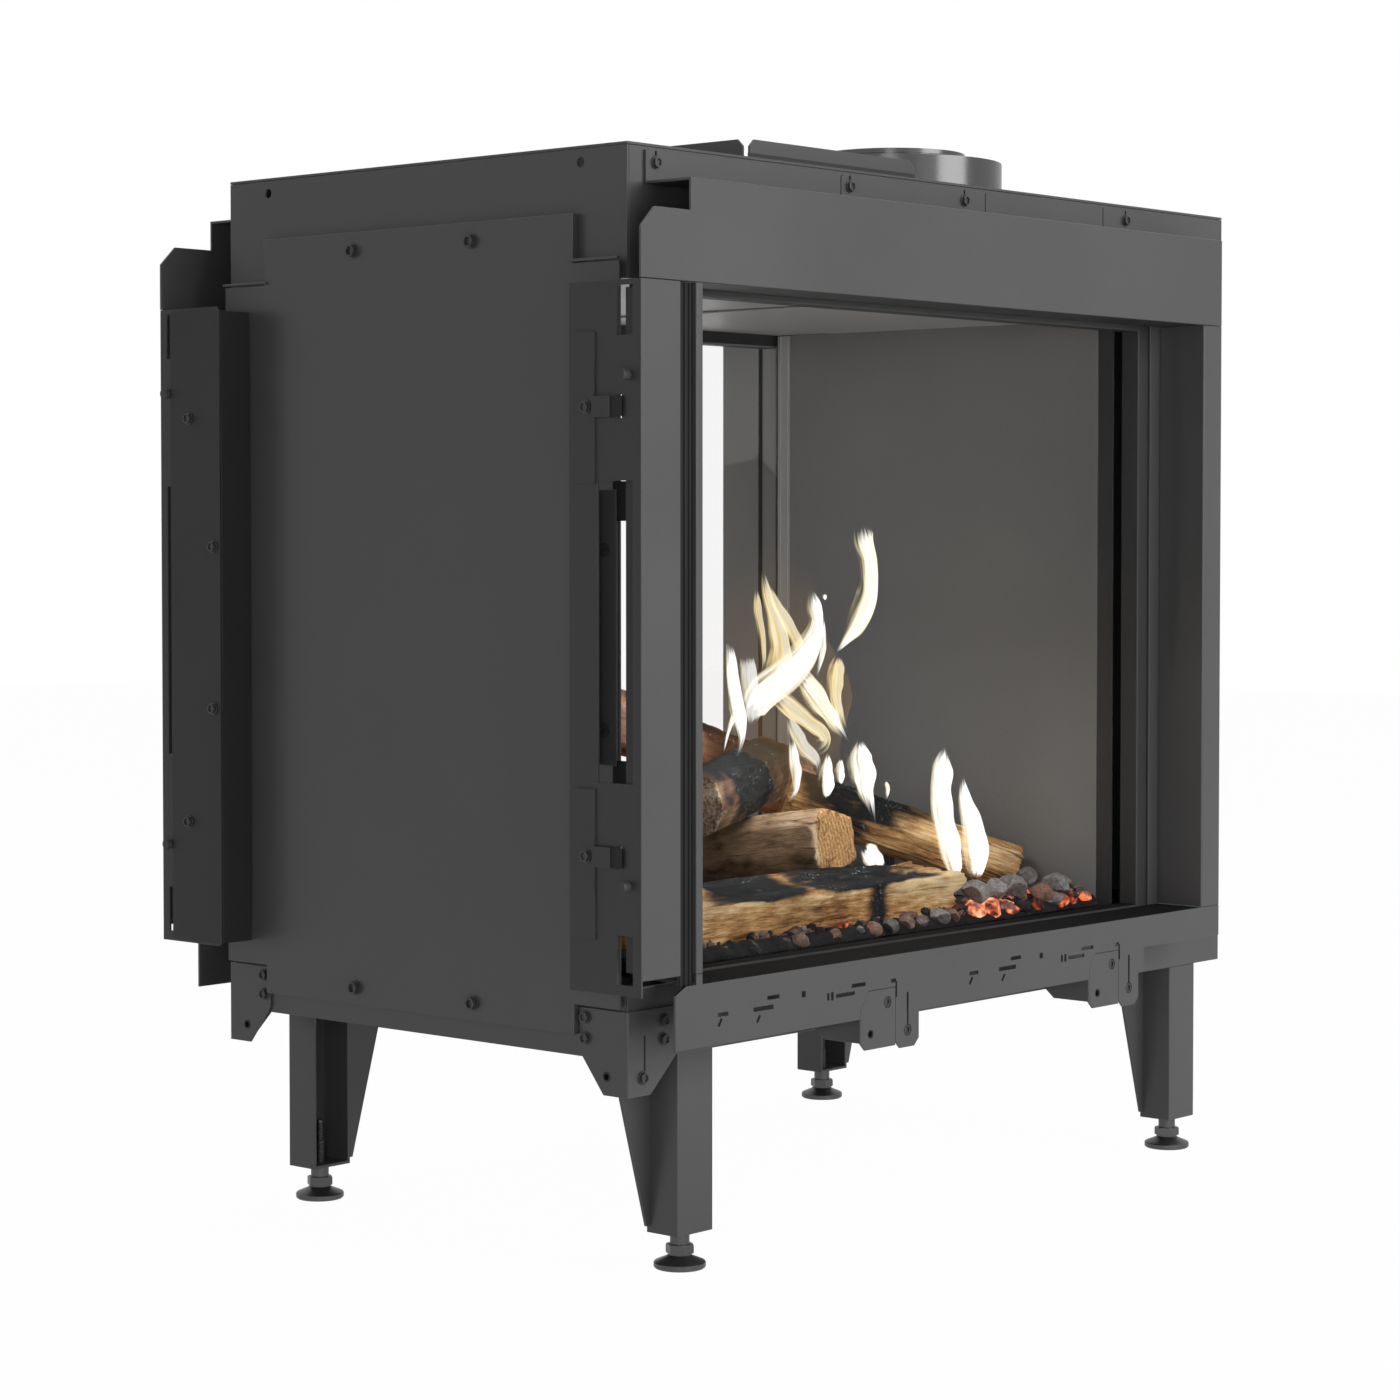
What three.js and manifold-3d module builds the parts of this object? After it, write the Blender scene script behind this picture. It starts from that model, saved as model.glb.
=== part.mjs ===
// See-through gas fireplace for building in: a sheet metal casing on four adjustable legs,
// a firebox with a window frame at the front and at the back, and a log fire between them.
// Millimetres, +Z up. The front faces -Y and the closed long wall of the firebox faces -X and +X.
import * as THREE from 'three';
import { mergeVertices } from 'three/addons/utils/BufferGeometryUtils.js';
import Module from 'manifold-3d';

const wasm = await Module();
wasm.setup();

// Sheet, clearances and cutting
const seat = 0.3;
const sheet = 2;
const overrun = 6;
const roundSides = 24;
const flueSides = 48;

// Casing
const bodyWidth = 800;
const bodyDepth = 441;
const bodyTop = 845;
const baseBottom = 167.5;
const baseHeight = 54.5;
const beamFlange = 30;
const cornerGapDepth = 15.5;
const bandRise = 4;
const fasciaStile = 115;

// Opening in the top plate with its four upstand flaps
const ventLeft = 170;
const ventFlueGap = 111;
const ventEdge = 30.5;
const flapHeight = 19;
const flapNotch = 4;
const flapCorner = 5.5;

// Flue
const flueInset = 206;
const flueOuterRadius = 100;
const flueInnerRadius = 65;
const flueWall = 2;
const flueCollarHeight = 46;
const flueSpigotRise = 55;
const flueLipHeight = 4;
const flueLipStep = 1.5;
const flueSeatStep = 2;

// Firebox
const wallLeftInset = 24;
const wallRightInset = 135;
const wallPaneGap = 17.3;
const ceilingRise = 7;

// Window panes and the frames that hold them
const paneThickness = 4;
const paneInset = 21.2;
const paneRise = 3.6;
const paneMargin = 6;
const paneFrameLeftInset = 24;
const paneFrameRightInset = 109;
const paneFrameLeftBar = 14;
const paneFrameRightBar = 21;
const paneFrameFoot = 4;
const paneFrameHead = 16;
const paneFrameRise = 11;

// Window surround frames, in front of the casing
const frameStandOff = 46.5;
const frameOverhang = 36;
const frameRightInset = 72;
const windowLeftMargin = 67;
const windowRightMargin = 28;
const backWindowRightMargin = 60;
const windowFoot = 5;
const windowHead = 104;
const headerHeight = 76;
const headerFlangeHeight = 23;
const headerStepIn = 54;
const headerStepDown = 24;
const headerChamfer = 15;
const sillRightDrop = 27;
const apronDrop = 47;
const apronLeftIn = 37;
const apronRightInset = 118.5;
const apronTopGap = 6;

// Left stile: front strip, grooved trim and the side wall of the channel
const stripWidth = 43;
const stripFoot = 8;
const trimGroove = 17;
const trimGrooveDepth = 5;
const trimLip = 7;
const channelDepth = 71;
const channelDrop = 4;
const slotEdge = 8.4;
const slotWidth = 15.6;
const slotWideWidth = 34.4;
const slotEndHeight = 36;
const slotEndGap = 4;
const slotMiddleFoot = 150;
const slotMiddleHead = 145;
const hingePlateWidth = 24;
const hingePlateHeight = 110;
const hingePlateFoot = 35;
const hingePlateHead = 147;
const hingePlateEdge = 2;
const hingePlateChamfer = 5;
const hookSlotWidth = 5;
const hookSlotHeight = 17;
const hookSlotEdge = 19;
const hookSlotFoot = 88;
const hookSlotHead = 100;
const studRadius = 4;
const studLength = 8;
const studEdge = 13;
const studFoot = 76;
const studHead = 69;
const innerPlateWidth = 22;
const innerPlateDepth = 18;
const innerPlateHead = 151;
const innerPlateFoot = 161;
const innerPlateEdge = 41;

// Cover strip over the back channel
const stripCoverWidth = 61;
const stripCoverEdge = 17.5;
const stripCoverDrop = 2;
const stripCoverHead = 3;

// Apron tabs and the brackets beside them, the places as shares of the surround's width
const tabSpotShares = [0.389, 0.7945];
const tabWidth = 30;
const tabDrop = 75;
const tabChamfer = 6;
const bracketWidth = 44;
const bracketHeight = 46;
const bracketDrop = 72;
const bracketChamferIn = 10;
const bracketChamferDown = 14;

// Left side cover and its bolts
const coverStand = 7;
const coverPanEdge = 48.5;
const coverWingEdge = 1.5;
const coverFoot = 16.5;
const coverHead = 50;
const coverWingFoot = 39.5;
const coverWingHead = 87;
const boltReach = 66;
const boltHighEdge = 15;
const boltLowEdge = 14;
const boltAcross = 11;
const boltHead = 4.5;
const boltShank = 3;

// Corner brackets of the base
const cornerBracketDrop = 26.5;
const cornerBracketHead = 17;
const cornerBracketSide = 49.5;
const cornerBracketFront = 58;
const cornerBracketFoot = 25;
const cornerBracketRise = 31;

// Legs and levelling feet
const legLeftInset = 77.9;
const legRightInset = 55.9;
const legWidth = 40;
const legDepth = 31;
const legInset = 2.5;
const legSheet = 2.5;
const legBottom = 28;
const legWingTop = 41;
const legWingFoot = 3;
const legWingCut = 5;
const padRadius = 20;
const padRim = 5;
const padHeight = 10;
const padNeck = 9;
const footHexAcross = 19;
const footHexHeight = 7;
const footBossRadius = 7.5;
const studBodyRadius = 4.5;
const studTipRadius = 3.5;
const studBodyTop = 48;
const studTipTop = 66;

// Burner, pilot and gas pipe
const burnerEndGap = 119.5;
const burnerSpacing = 80;
const burnerRadius = 9;
const pipeRadius = 8;
const pipeHeight = 26;
const pipeBend = 22;
const pilotWidth = 34;
const pilotDepth = 12;
const pilotHeight = 46;
const pilotSheet = 3;
const pilotRodRadius = 2.5;

// Ember bed
const emberHeight = 18;
const emberEdge = 12;
const emberFrontEdge = 3;
const emberSlope = 16;

// Logs: width and height as shares of the firebox's depth and of the window's height, outline of
// the section as shares of these, and the two end points as shares of the firebox's width, of its
// depth and of the window's height
const logSizeShares = {
  front_log: [0.1966, 0.1],
  crossing_log: [0.1713, 0.1],
  back_log: [0.2079, 0.1346],
  charred_log: [0.1517, 0.1077],
  right_log: [0.1404, 0.0923],
  rear_upper_log: [0.1461, 0.1038],
};
const splitSectionShares = [
  [-0.5, -0.42], [-0.3, -0.5], [0.36, -0.5], [0.5, -0.24],
  [0.45, 0.26], [0.2, 0.5], [-0.16, 0.4], [-0.5, 0.3],
];
const roundSectionShares = [
  [-0.5, -0.12], [-0.34, -0.4], [0.02, -0.5], [0.38, -0.36],
  [0.5, 0.04], [0.36, 0.38], [0, 0.5], [-0.4, 0.34],
];
const logSectionShares = {
  front_log: splitSectionShares,
  crossing_log: splitSectionShares,
  back_log: roundSectionShares,
  charred_log: roundSectionShares,
  right_log: roundSectionShares,
  rear_upper_log: roundSectionShares,
};
const logEndShares = {
  front_log: [[-0.454, -0.402, 0.055], [0.176, -0.402, 0.055]],
  crossing_log: [[0.001, -0.379, 0.156], [-0.015, 0.169, 0.1]],
  back_log: [[-0.43, 0.267, 0.071], [0.38, 0.28, 0.071]],
  charred_log: [[-0.188, -0.24, 0.216], [0.118, 0, 0.248]],
  right_log: [[0.456, -0.303, 0.055], [0.22, 0.1, 0.195]],
  rear_upper_log: [[-0.14, 0.21, 0.362], [0.28, 0.14, 0.19]],
};

// Places worked out from the sizes above
const half = bodyWidth / 2;
const halfDepth = bodyDepth / 2;
const baseTop = baseBottom + baseHeight;
const windowTop = bodyTop - windowHead;
const windowBottom = baseTop + windowFoot;
const bandBottom = windowTop + bandRise;
const headerTop = windowTop + headerHeight;
const deckBottom = baseTop + seat;
const deckTop = deckBottom + sheet;
const ceilingHeight = windowTop + ceilingRise;
const paneHeight = windowTop + paneRise - deckTop - seat;
const paneFrameTop = windowTop + paneFrameRise;
const innerHalf = half - sheet - seat;
const innerDepth = halfDepth - sheet - seat;
const wallLeft = -half + wallLeftInset;
const wallRight = half - wallRightInset;
const frameFace = halfDepth + frameStandOff;
const frameBack = frameFace - sheet;
const frameLeft = -half - frameOverhang;
const frameRight = half - frameRightInset;
const tabSpots = tabSpotShares.map((share) => share * (frameRight - frameLeft));
const windowLeft = frameLeft + windowLeftMargin;
const windowRight = frameRight - windowRightMargin;
const paneOuter = halfDepth - paneInset;
const paneInner = paneOuter - paneThickness;
const wallReach = paneInner - wallPaneGap;
const ceilingReach = paneInner - seat * 2;
const ventReach = halfDepth - ventEdge;
const coverPanReach = halfDepth - coverPanEdge;
const coverWingReach = halfDepth - coverWingEdge;
const paneFrameLeft = -half + paneFrameLeftInset;
const paneFrameRight = half - paneFrameRightInset;
const bandLeft = frameLeft + headerStepIn;
const apronBottom = windowBottom - apronDrop;
const stripBottom = windowBottom + stripFoot;
const channelBottom = windowBottom - channelDrop;
const slotMiddleBottom = windowBottom + slotMiddleFoot;
const slotMiddleTop = windowTop - slotMiddleHead;
const hingePlateLow = windowBottom + hingePlateFoot;
const hingePlateHigh = windowTop - hingePlateHead;
const hookSlotLow = windowBottom + hookSlotFoot;
const hookSlotHigh = windowTop - hookSlotHead;
const studLow = windowBottom + studFoot;
const studHigh = windowTop - studHead;
const innerPlateBottom = windowBottom + innerPlateFoot;
const innerPlateTop = windowTop - innerPlateHead;
const stripCoverBottom = windowBottom - stripCoverDrop;
const stripCoverTop = windowTop - stripCoverHead;
const coverBottom = baseBottom + coverFoot;
const coverTop = bodyTop - coverHead;
const coverWingBottom = baseBottom + coverWingFoot;
const coverWingTop = bodyTop - coverWingHead;
const boltHigh = coverTop - boltHighEdge;
const boltLow = coverBottom + boltLowEdge;
const cornerBracketBottom = baseBottom - cornerBracketDrop;
const cornerBracketTop = baseTop - cornerBracketHead;
const fireCentre = (wallLeft + sheet + wallRight) / 2;
const fireWidth = wallRight - wallLeft - sheet;
const burnerReach = fireWidth / 2 - burnerEndGap;
const flueRight = half - flueInset;
const pipeBack = burnerSpacing / 2;

const steel = new THREE.MeshStandardMaterial({ color: 0x4a4a4b, roughness: 0.55, metalness: 0.3 });
const liner = new THREE.MeshStandardMaterial({ color: 0x3c3c3d, roughness: 0.6, metalness: 0.2 });
const hardware = new THREE.MeshStandardMaterial({ color: 0x2e2e2f, roughness: 0.45, metalness: 0.6 });
const glass = new THREE.MeshStandardMaterial({
  color: 0xe8ecec, roughness: 0.05, metalness: 0, transparent: true, opacity: 0.25,
});
const wood = new THREE.MeshStandardMaterial({ color: 0x9a7048, roughness: 0.9, metalness: 0 });
const ember = new THREE.MeshStandardMaterial({ color: 0x57504c, roughness: 0.95, metalness: 0 });

const fireplace = new THREE.Group();

// A closed three.js geometry as a solid that can be joined and cut
function solidOf(geometry) {
  const bare = geometry.clone();
  bare.deleteAttribute('normal');
  bare.deleteAttribute('uv');
  const merged = mergeVertices(bare);
  return new wasm.Manifold(new wasm.Mesh({
    numProp: 3,
    vertProperties: new Float32Array(merged.attributes.position.array),
    triVerts: new Uint32Array(merged.index.array),
  }));
}

// A solid as a three.js geometry
function geometryOf(solid) {
  const data = solid.getMesh();
  const geometry = new THREE.BufferGeometry();
  geometry.setAttribute('position', new THREE.BufferAttribute(new Float32Array(data.vertProperties), 3));
  geometry.setIndex(new THREE.BufferAttribute(new Uint32Array(data.triVerts), 1));
  geometry.computeVertexNormals();
  return geometry;
}

function add(name, solid, material) {
  const mesh = new THREE.Mesh(geometryOf(solid), material);
  mesh.name = name;
  fireplace.add(mesh);
  return mesh;
}

// The same solid with y turned to -y, its faces turned back outwards
function mirrorDepth(solid) {
  const geometry = geometryOf(solid);
  geometry.scale(1, -1, 1);
  const index = geometry.index.array;
  for (let i = 0; i < index.length; i += 3) {
    [index[i + 1], index[i + 2]] = [index[i + 2], index[i + 1]];
  }
  return solidOf(geometry);
}

function block(x0, x1, y0, y1, z0, z1) {
  const geometry = new THREE.BoxGeometry(x1 - x0, y1 - y0, z1 - z0);
  geometry.translate((x0 + x1) / 2, (y0 + y1) / 2, (z0 + z1) / 2);
  return solidOf(geometry);
}

function extruded(points, length) {
  const shape = new THREE.Shape(points.map(([a, b]) => new THREE.Vector2(a, b)));
  return new THREE.ExtrudeGeometry(shape, { depth: length, bevelEnabled: false });
}

// An outline of (x, z) points, with its thickness along Y
function plateXZ(points, y0, y1) {
  const geometry = extruded(points, y1 - y0);
  geometry.rotateX(Math.PI / 2);
  geometry.translate(0, y1, 0);
  return solidOf(geometry);
}

// An outline of (y, z) points, with its thickness along X
function plateYZ(points, x0, x1) {
  const geometry = extruded(points, x1 - x0);
  const turn = new THREE.Matrix4().makeBasis(
    new THREE.Vector3(0, 1, 0),
    new THREE.Vector3(0, 0, 1),
    new THREE.Vector3(1, 0, 0),
  );
  geometry.applyMatrix4(turn);
  geometry.translate(x0, 0, 0);
  return solidOf(geometry);
}

// An outline of (x, y) points, with its length along Z
function columnXY(points, z0, z1) {
  const geometry = extruded(points, z1 - z0);
  geometry.translate(0, 0, z0);
  return solidOf(geometry);
}

function rodZ(x, y, radius, z0, z1, sides = roundSides) {
  const geometry = new THREE.CylinderGeometry(radius, radius, z1 - z0, sides);
  geometry.rotateX(Math.PI / 2);
  geometry.translate(x, y, (z0 + z1) / 2);
  return solidOf(geometry);
}

function rodX(y, z, radius, x0, x1, sides = roundSides) {
  const geometry = new THREE.CylinderGeometry(radius, radius, x1 - x0, sides);
  geometry.rotateZ(Math.PI / 2);
  geometry.translate((x0 + x1) / 2, y, z);
  return solidOf(geometry);
}

// The points of a rectangle
function rectangle(a0, a1, b0, b1) {
  return [[a0, b0], [a1, b0], [a1, b1], [a0, b1]];
}

// Base: two beams with a flange to carry the deck, two rails between them and a bottom plate
function addBase() {
  const beamProfile = [
    [-halfDepth, baseBottom],
    [-halfDepth + sheet, baseBottom],
    [-halfDepth + sheet, baseTop - sheet],
    [-halfDepth + beamFlange, baseTop - sheet],
    [-halfDepth + beamFlange, baseTop],
    [-halfDepth, baseTop],
  ];
  const beam = plateYZ(beamProfile, -half, half);
  add('front_beam', beam, steel);
  add('back_beam', mirrorDepth(beam), steel);

  const railTop = baseTop - sheet - seat;
  let leftRail = block(-half, -half + sheet, -innerDepth, innerDepth, baseBottom, railTop);
  for (const y of [-boltReach, boltReach]) {
    leftRail = leftRail.subtract(boltHole(y, boltLow));
  }
  add('left_rail', leftRail, steel);
  const inlet = rodX(pipeBack, baseBottom + pipeHeight, pipeRadius + seat, half - overrun, half + overrun);
  const rightRail = block(half - sheet, half, -innerDepth, innerDepth, baseBottom, railTop);
  add('right_rail', rightRail.subtract(inlet), steel);
  const plate = block(-innerHalf, innerHalf, -innerDepth, innerDepth, baseBottom, baseBottom + sheet);
  add('base_plate', plate, steel);
}

function boltHole(y, z) {
  return rodX(y, z, boltShank + seat, -half - coverStand - overrun, -half + overrun, roundSides / 2);
}

// Casing: side panels, front and back fascias and the top plate
function addCasing() {
  const panelTop = bodyTop - sheet - seat;
  const cornerGap = halfDepth - cornerGapDepth;
  let leftPanel = plateYZ([
    [-cornerGap, deckBottom],
    [cornerGap, deckBottom],
    [cornerGap, bandBottom],
    [halfDepth, bandBottom],
    [halfDepth, panelTop],
    [-halfDepth, panelTop],
    [-halfDepth, bandBottom],
    [-cornerGap, bandBottom],
  ], -half, -half + sheet);
  for (const y of [-boltReach, boltReach]) {
    leftPanel = leftPanel.subtract(boltHole(y, boltHigh));
  }
  add('left_side_panel', leftPanel, steel);
  add('right_side_panel', block(half - sheet, half, -halfDepth, halfDepth, deckBottom, panelTop), steel);

  const fasciaOutline = [
    [-innerHalf, bandBottom],
    [half - fasciaStile, bandBottom],
    [half - fasciaStile, deckBottom],
    [innerHalf, deckBottom],
    [innerHalf, panelTop],
    [-innerHalf, panelTop],
  ];
  const fascia = plateXZ(fasciaOutline, -halfDepth, -halfDepth + sheet);
  add('front_fascia', fascia, steel);
  add('back_fascia', mirrorDepth(fascia), steel);
}

// Top plate with the flue hole and the vent, whose edges stand up as four flaps
function addTopPlate() {
  const x0 = -half + ventLeft;
  const x1 = flueRight - flueOuterRadius - ventFlueGap;
  const y0 = ventReach;
  const plateBottom = bodyTop - sheet;
  const flapTop = bodyTop + flapHeight;
  const longFlap = [
    [x0 + flapNotch, plateBottom],
    [x1, plateBottom],
    [x1, flapTop - flapCorner],
    [x1 - flapCorner, flapTop],
    [x0 + flapNotch + flapCorner, flapTop],
    [x0 + flapNotch, flapTop - flapCorner],
  ];
  const sideReach = y0 - flapNotch;
  const sideFlap = [
    [-sideReach, plateBottom],
    [sideReach, plateBottom],
    [sideReach, flapTop - flapCorner],
    [sideReach - flapCorner, flapTop],
    [-sideReach + flapCorner, flapTop],
    [-sideReach, flapTop - flapCorner],
  ];
  const holeRadius = flueOuterRadius - flueWall - flueSeatStep;
  const frontFlap = plateXZ(longFlap, -y0, -y0 + sheet);
  const cutBottom = plateBottom - overrun;
  const cutTop = bodyTop + overrun;
  const top = block(-half, half, -halfDepth, halfDepth, plateBottom, bodyTop)
    .subtract(block(x0 + sheet, x1 - sheet, -y0 + sheet, y0 - sheet, cutBottom, cutTop))
    .subtract(rodZ(flueRight, 0, holeRadius, cutBottom, cutTop))
    .add(frontFlap)
    .add(mirrorDepth(frontFlap))
    .add(plateYZ(sideFlap, x0, x0 + sheet))
    .add(plateYZ(sideFlap, x1 - sheet, x1));
  add('top_plate', top, steel);
}

// Flue: an outer air collar on the top plate and an inner spigot on the firebox ceiling
function addFlue() {
  const collarBottom = bodyTop + seat;
  const collarTop = bodyTop + flueCollarHeight;
  add('flue_outer_collar', ringZ(flueOuterRadius, collarBottom, collarTop), steel);

  const spigotTop = bodyTop + flueSpigotRise;
  const spigotBottom = ceilingHeight + sheet + seat;
  const inside = rodZ(flueRight, 0, flueInnerRadius - flueWall, spigotBottom, spigotTop + overrun, flueSides);
  const lipRadius = flueInnerRadius + flueLipStep;
  const lip = rodZ(flueRight, 0, lipRadius, spigotTop - flueLipHeight, spigotTop, flueSides);
  const spigot = ringZ(flueInnerRadius, spigotBottom, spigotTop).add(lip.subtract(inside));
  add('flue_inner_spigot', spigot, steel);
}

// A round pipe of the flue's sheet about the flue's axis
function ringZ(radius, z0, z1) {
  return rodZ(flueRight, 0, radius, z0, z1, flueSides)
    .subtract(rodZ(flueRight, 0, radius - flueWall, z0 - overrun, z1 + overrun, flueSides));
}

// Firebox: deck, two lined walls and a ceiling with the flue outlet
function addFirebox() {
  const pipeHole = rodZ(fireCentre, pipeBack, pipeRadius + seat, deckBottom - overrun, deckTop + overrun);
  add('firebox_deck', block(-innerHalf, innerHalf, -innerDepth, innerDepth, deckBottom, deckTop)
    .subtract(pipeHole), liner);
  const wallBottom = deckTop + seat;
  const wallTop = ceilingHeight - seat;
  for (const [name, x] of [['firebox_left_wall', wallLeft], ['firebox_right_wall', wallRight]]) {
    add(name, block(x, x + sheet, -wallReach, wallReach, wallBottom, wallTop), liner);
  }
  const outlet = rodZ(flueRight, 0, flueInnerRadius - flueWall - flueSeatStep, ceilingHeight - overrun,
    ceilingHeight + sheet + overrun, flueSides);
  const ceiling = block(wallLeft, wallRight + sheet, -ceilingReach, ceilingReach, ceilingHeight,
    ceilingHeight + sheet);
  add('firebox_ceiling', ceiling.subtract(outlet), liner);
}

// Window panes, which lift in their frames, and the frames that stand against the fascias
function addWindows() {
  const bottom = deckTop + seat;
  const pane = block(paneFrameLeft + paneMargin, paneFrameRight - paneMargin, -paneOuter, -paneInner,
    bottom, bottom + paneHeight);
  const frameOuter = rectangle(paneFrameLeft, paneFrameRight, bottom, paneFrameTop);
  const frameHole = rectangle(paneFrameLeft + paneFrameLeftBar, paneFrameRight - paneFrameRightBar,
    bottom + paneFrameFoot, paneFrameTop - paneFrameHead);
  const frame = plateXZ(frameOuter, -innerDepth, -paneOuter - seat)
    .subtract(plateXZ(frameHole, -innerDepth - overrun, -paneOuter + overrun));
  add('front_pane', pane, glass);
  add('back_pane', mirrorDepth(pane), glass);
  add('front_pane_frame', frame, liner);
  add('back_pane_frame', mirrorDepth(frame), liner);
}

// Header of a window surround: front plate, top shelf, back flange and the head reveal
function headerSolid() {
  const flangeFace = halfDepth + seat + sheet;
  const profile = [
    [-frameFace, windowTop],
    [-halfDepth - seat, windowTop],
    [-halfDepth - seat, windowTop + sheet],
    [-frameBack, windowTop + sheet],
    [-frameBack, headerTop - sheet],
    [-flangeFace + sheet, headerTop - sheet],
    [-flangeFace + sheet, headerTop + headerFlangeHeight],
    [-flangeFace, headerTop + headerFlangeHeight],
    [-flangeFace, headerTop],
    [-frameFace, headerTop],
  ];
  const shoulder = headerTop - headerStepDown;
  const wing = [
    [frameLeft, windowTop],
    [bandLeft + overrun, windowTop],
    [bandLeft + overrun, shoulder],
    [frameLeft + headerChamfer, shoulder],
    [frameLeft, shoulder - headerChamfer],
  ];
  return plateYZ(profile, bandLeft, frameRight).add(plateXZ(wing, -frameFace, -frameBack));
}

// Left stile: strip, groove and lip of the window edge, with the slotted side wall
function leftStileSolid() {
  const top = windowTop - seat;
  const grooveLeft = frameLeft + stripWidth;
  const grooveRight = grooveLeft + trimGroove;
  const lipRight = grooveRight + trimLip;
  const grooveFace = frameFace - trimGrooveDepth;
  const profile = [
    [frameLeft, -frameFace],
    [grooveLeft, -frameFace],
    [grooveLeft, -grooveFace],
    [grooveRight, -grooveFace],
    [grooveRight, -frameFace],
    [lipRight, -frameFace],
    [lipRight, -frameBack],
    [grooveRight + sheet, -frameBack],
    [grooveRight + sheet, -grooveFace + sheet],
    [grooveLeft - sheet, -grooveFace + sheet],
    [grooveLeft - sheet, -frameBack],
    [frameLeft + sheet, -frameBack],
    [frameLeft + sheet, -frameFace + channelDepth],
    [frameLeft, -frameFace + channelDepth],
  ];
  const wallFoot = block(frameLeft, frameLeft + sheet, -frameFace, -frameFace + channelDepth, channelBottom,
    stripBottom + sheet);
  let stile = columnXY(profile, stripBottom, top).add(wallFoot);

  const wallRear = frameLeft + sheet / 2;
  const slotFront = -frameFace + slotEdge;
  function slot(width, z0, z1) {
    return block(frameLeft - overrun, frameLeft + overrun, slotFront, slotFront + width, z0, z1);
  }
  const lowSlot = channelBottom + sheet + overrun;
  stile = stile
    .subtract(slot(slotWidth, lowSlot, lowSlot + slotEndHeight))
    .subtract(slot(slotWideWidth, slotMiddleBottom, slotMiddleTop))
    .subtract(slot(slotWidth, top - slotEndGap - slotEndHeight, top - slotEndGap));
  for (const z of [hookSlotLow, hookSlotHigh]) {
    const y = -frameFace + hookSlotEdge;
    stile = stile.subtract(block(frameLeft - overrun, frameLeft + overrun, y, y + hookSlotWidth, z,
      z + hookSlotHeight));
  }
  const plateRear = -frameFace + channelDepth - hingePlateEdge;
  const plateFront = plateRear - hingePlateWidth;
  for (const z of [hingePlateLow, hingePlateHigh]) {
    const plate = [
      [plateFront, z],
      [plateRear - hingePlateChamfer, z],
      [plateRear, z + hingePlateChamfer],
      [plateRear, z + hingePlateHeight - hingePlateChamfer],
      [plateRear - hingePlateChamfer, z + hingePlateHeight],
      [plateFront, z + hingePlateHeight],
    ];
    stile = stile.add(plateYZ(plate, frameLeft - sheet, wallRear));
  }
  for (const z of [studLow, studHigh]) {
    const stud = rodX(-frameFace + studEdge, z, studRadius, frameLeft - studLength, wallRear, roundSides / 2);
    stile = stile.add(stud);
  }
  const innerFront = -frameFace + innerPlateEdge;
  const innerRear = innerFront + innerPlateWidth;
  const innerX = frameLeft + innerPlateDepth;
  return stile
    .add(block(wallRear, innerX + sheet, innerRear - sheet, innerRear, innerPlateBottom, innerPlateTop))
    .add(block(innerX, innerX + sheet, innerFront, innerRear, innerPlateBottom, innerPlateTop));
}

// Right stile: a folded angle with the reveal on its inner edge, wider at the back
function rightStileSolid(margin) {
  const edge = frameRight - margin;
  const profile = [
    [edge, -frameFace],
    [frameRight, -frameFace],
    [frameRight, -frameBack],
    [edge + sheet, -frameBack],
    [edge + sheet, -halfDepth - seat],
    [edge, -halfDepth - seat],
  ];
  return columnXY(profile, windowBottom + seat, windowTop - seat);
}

// The outline of a bracket's front plate, larger by the given margin
function bracketOutline(right, grow) {
  const left = right - bracketWidth;
  const bottom = windowBottom - bracketDrop;
  const top = bottom + bracketHeight;
  return [
    [left + tabChamfer, bottom - grow],
    [right + grow, bottom - grow],
    [right + grow, top + grow],
    [left + bracketChamferIn, top + grow],
    [left - grow, top - bracketChamferDown],
    [left - grow, bottom + tabChamfer],
  ];
}

function tabLeft(spot) {
  return frameLeft + spot;
}

// Sill of a window surround: apron with its tabs, and the shelf behind the window edge
function sillSolid() {
  const apronLeft = frameLeft + apronLeftIn;
  const apronRight = frameRight - apronRightInset;
  const rightBottom = windowBottom - sillRightDrop;
  const apron = [
    [apronLeft, apronBottom],
    [apronRight, apronBottom],
    [apronRight, rightBottom],
    [frameRight, rightBottom],
    [frameRight, windowBottom],
    [apronLeft + apronTopGap * 2, windowBottom],
    [apronLeft, windowBottom - apronTopGap],
  ];
  let sill = plateXZ(apron, -frameFace, -frameBack);
  for (const spot of tabSpots) {
    const x = tabLeft(spot);
    const bottom = windowBottom - tabDrop;
    const tab = [
      [x, bottom + tabChamfer],
      [x + tabChamfer, bottom],
      [x + tabWidth - tabChamfer, bottom],
      [x + tabWidth, bottom + tabChamfer],
      [x + tabWidth, apronBottom + overrun],
      [x, apronBottom + overrun],
    ];
    sill = sill.add(plateXZ(tab, -frameFace, -frameBack))
      .subtract(plateXZ(bracketOutline(x - seat, seat), -frameFace - overrun, -frameBack + overrun));
  }
  const lipRight = frameLeft + stripWidth + trimGroove + trimLip;
  const shelfBottom = windowBottom - sheet;
  const lip = block(lipRight - trimLip, lipRight, -frameFace, -frameBack, shelfBottom, stripBottom - seat);
  const shelf = block(windowLeft, windowRight, -frameFace, -halfDepth - seat, shelfBottom, windowBottom);
  return sill.add(lip).add(shelf);
}

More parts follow.
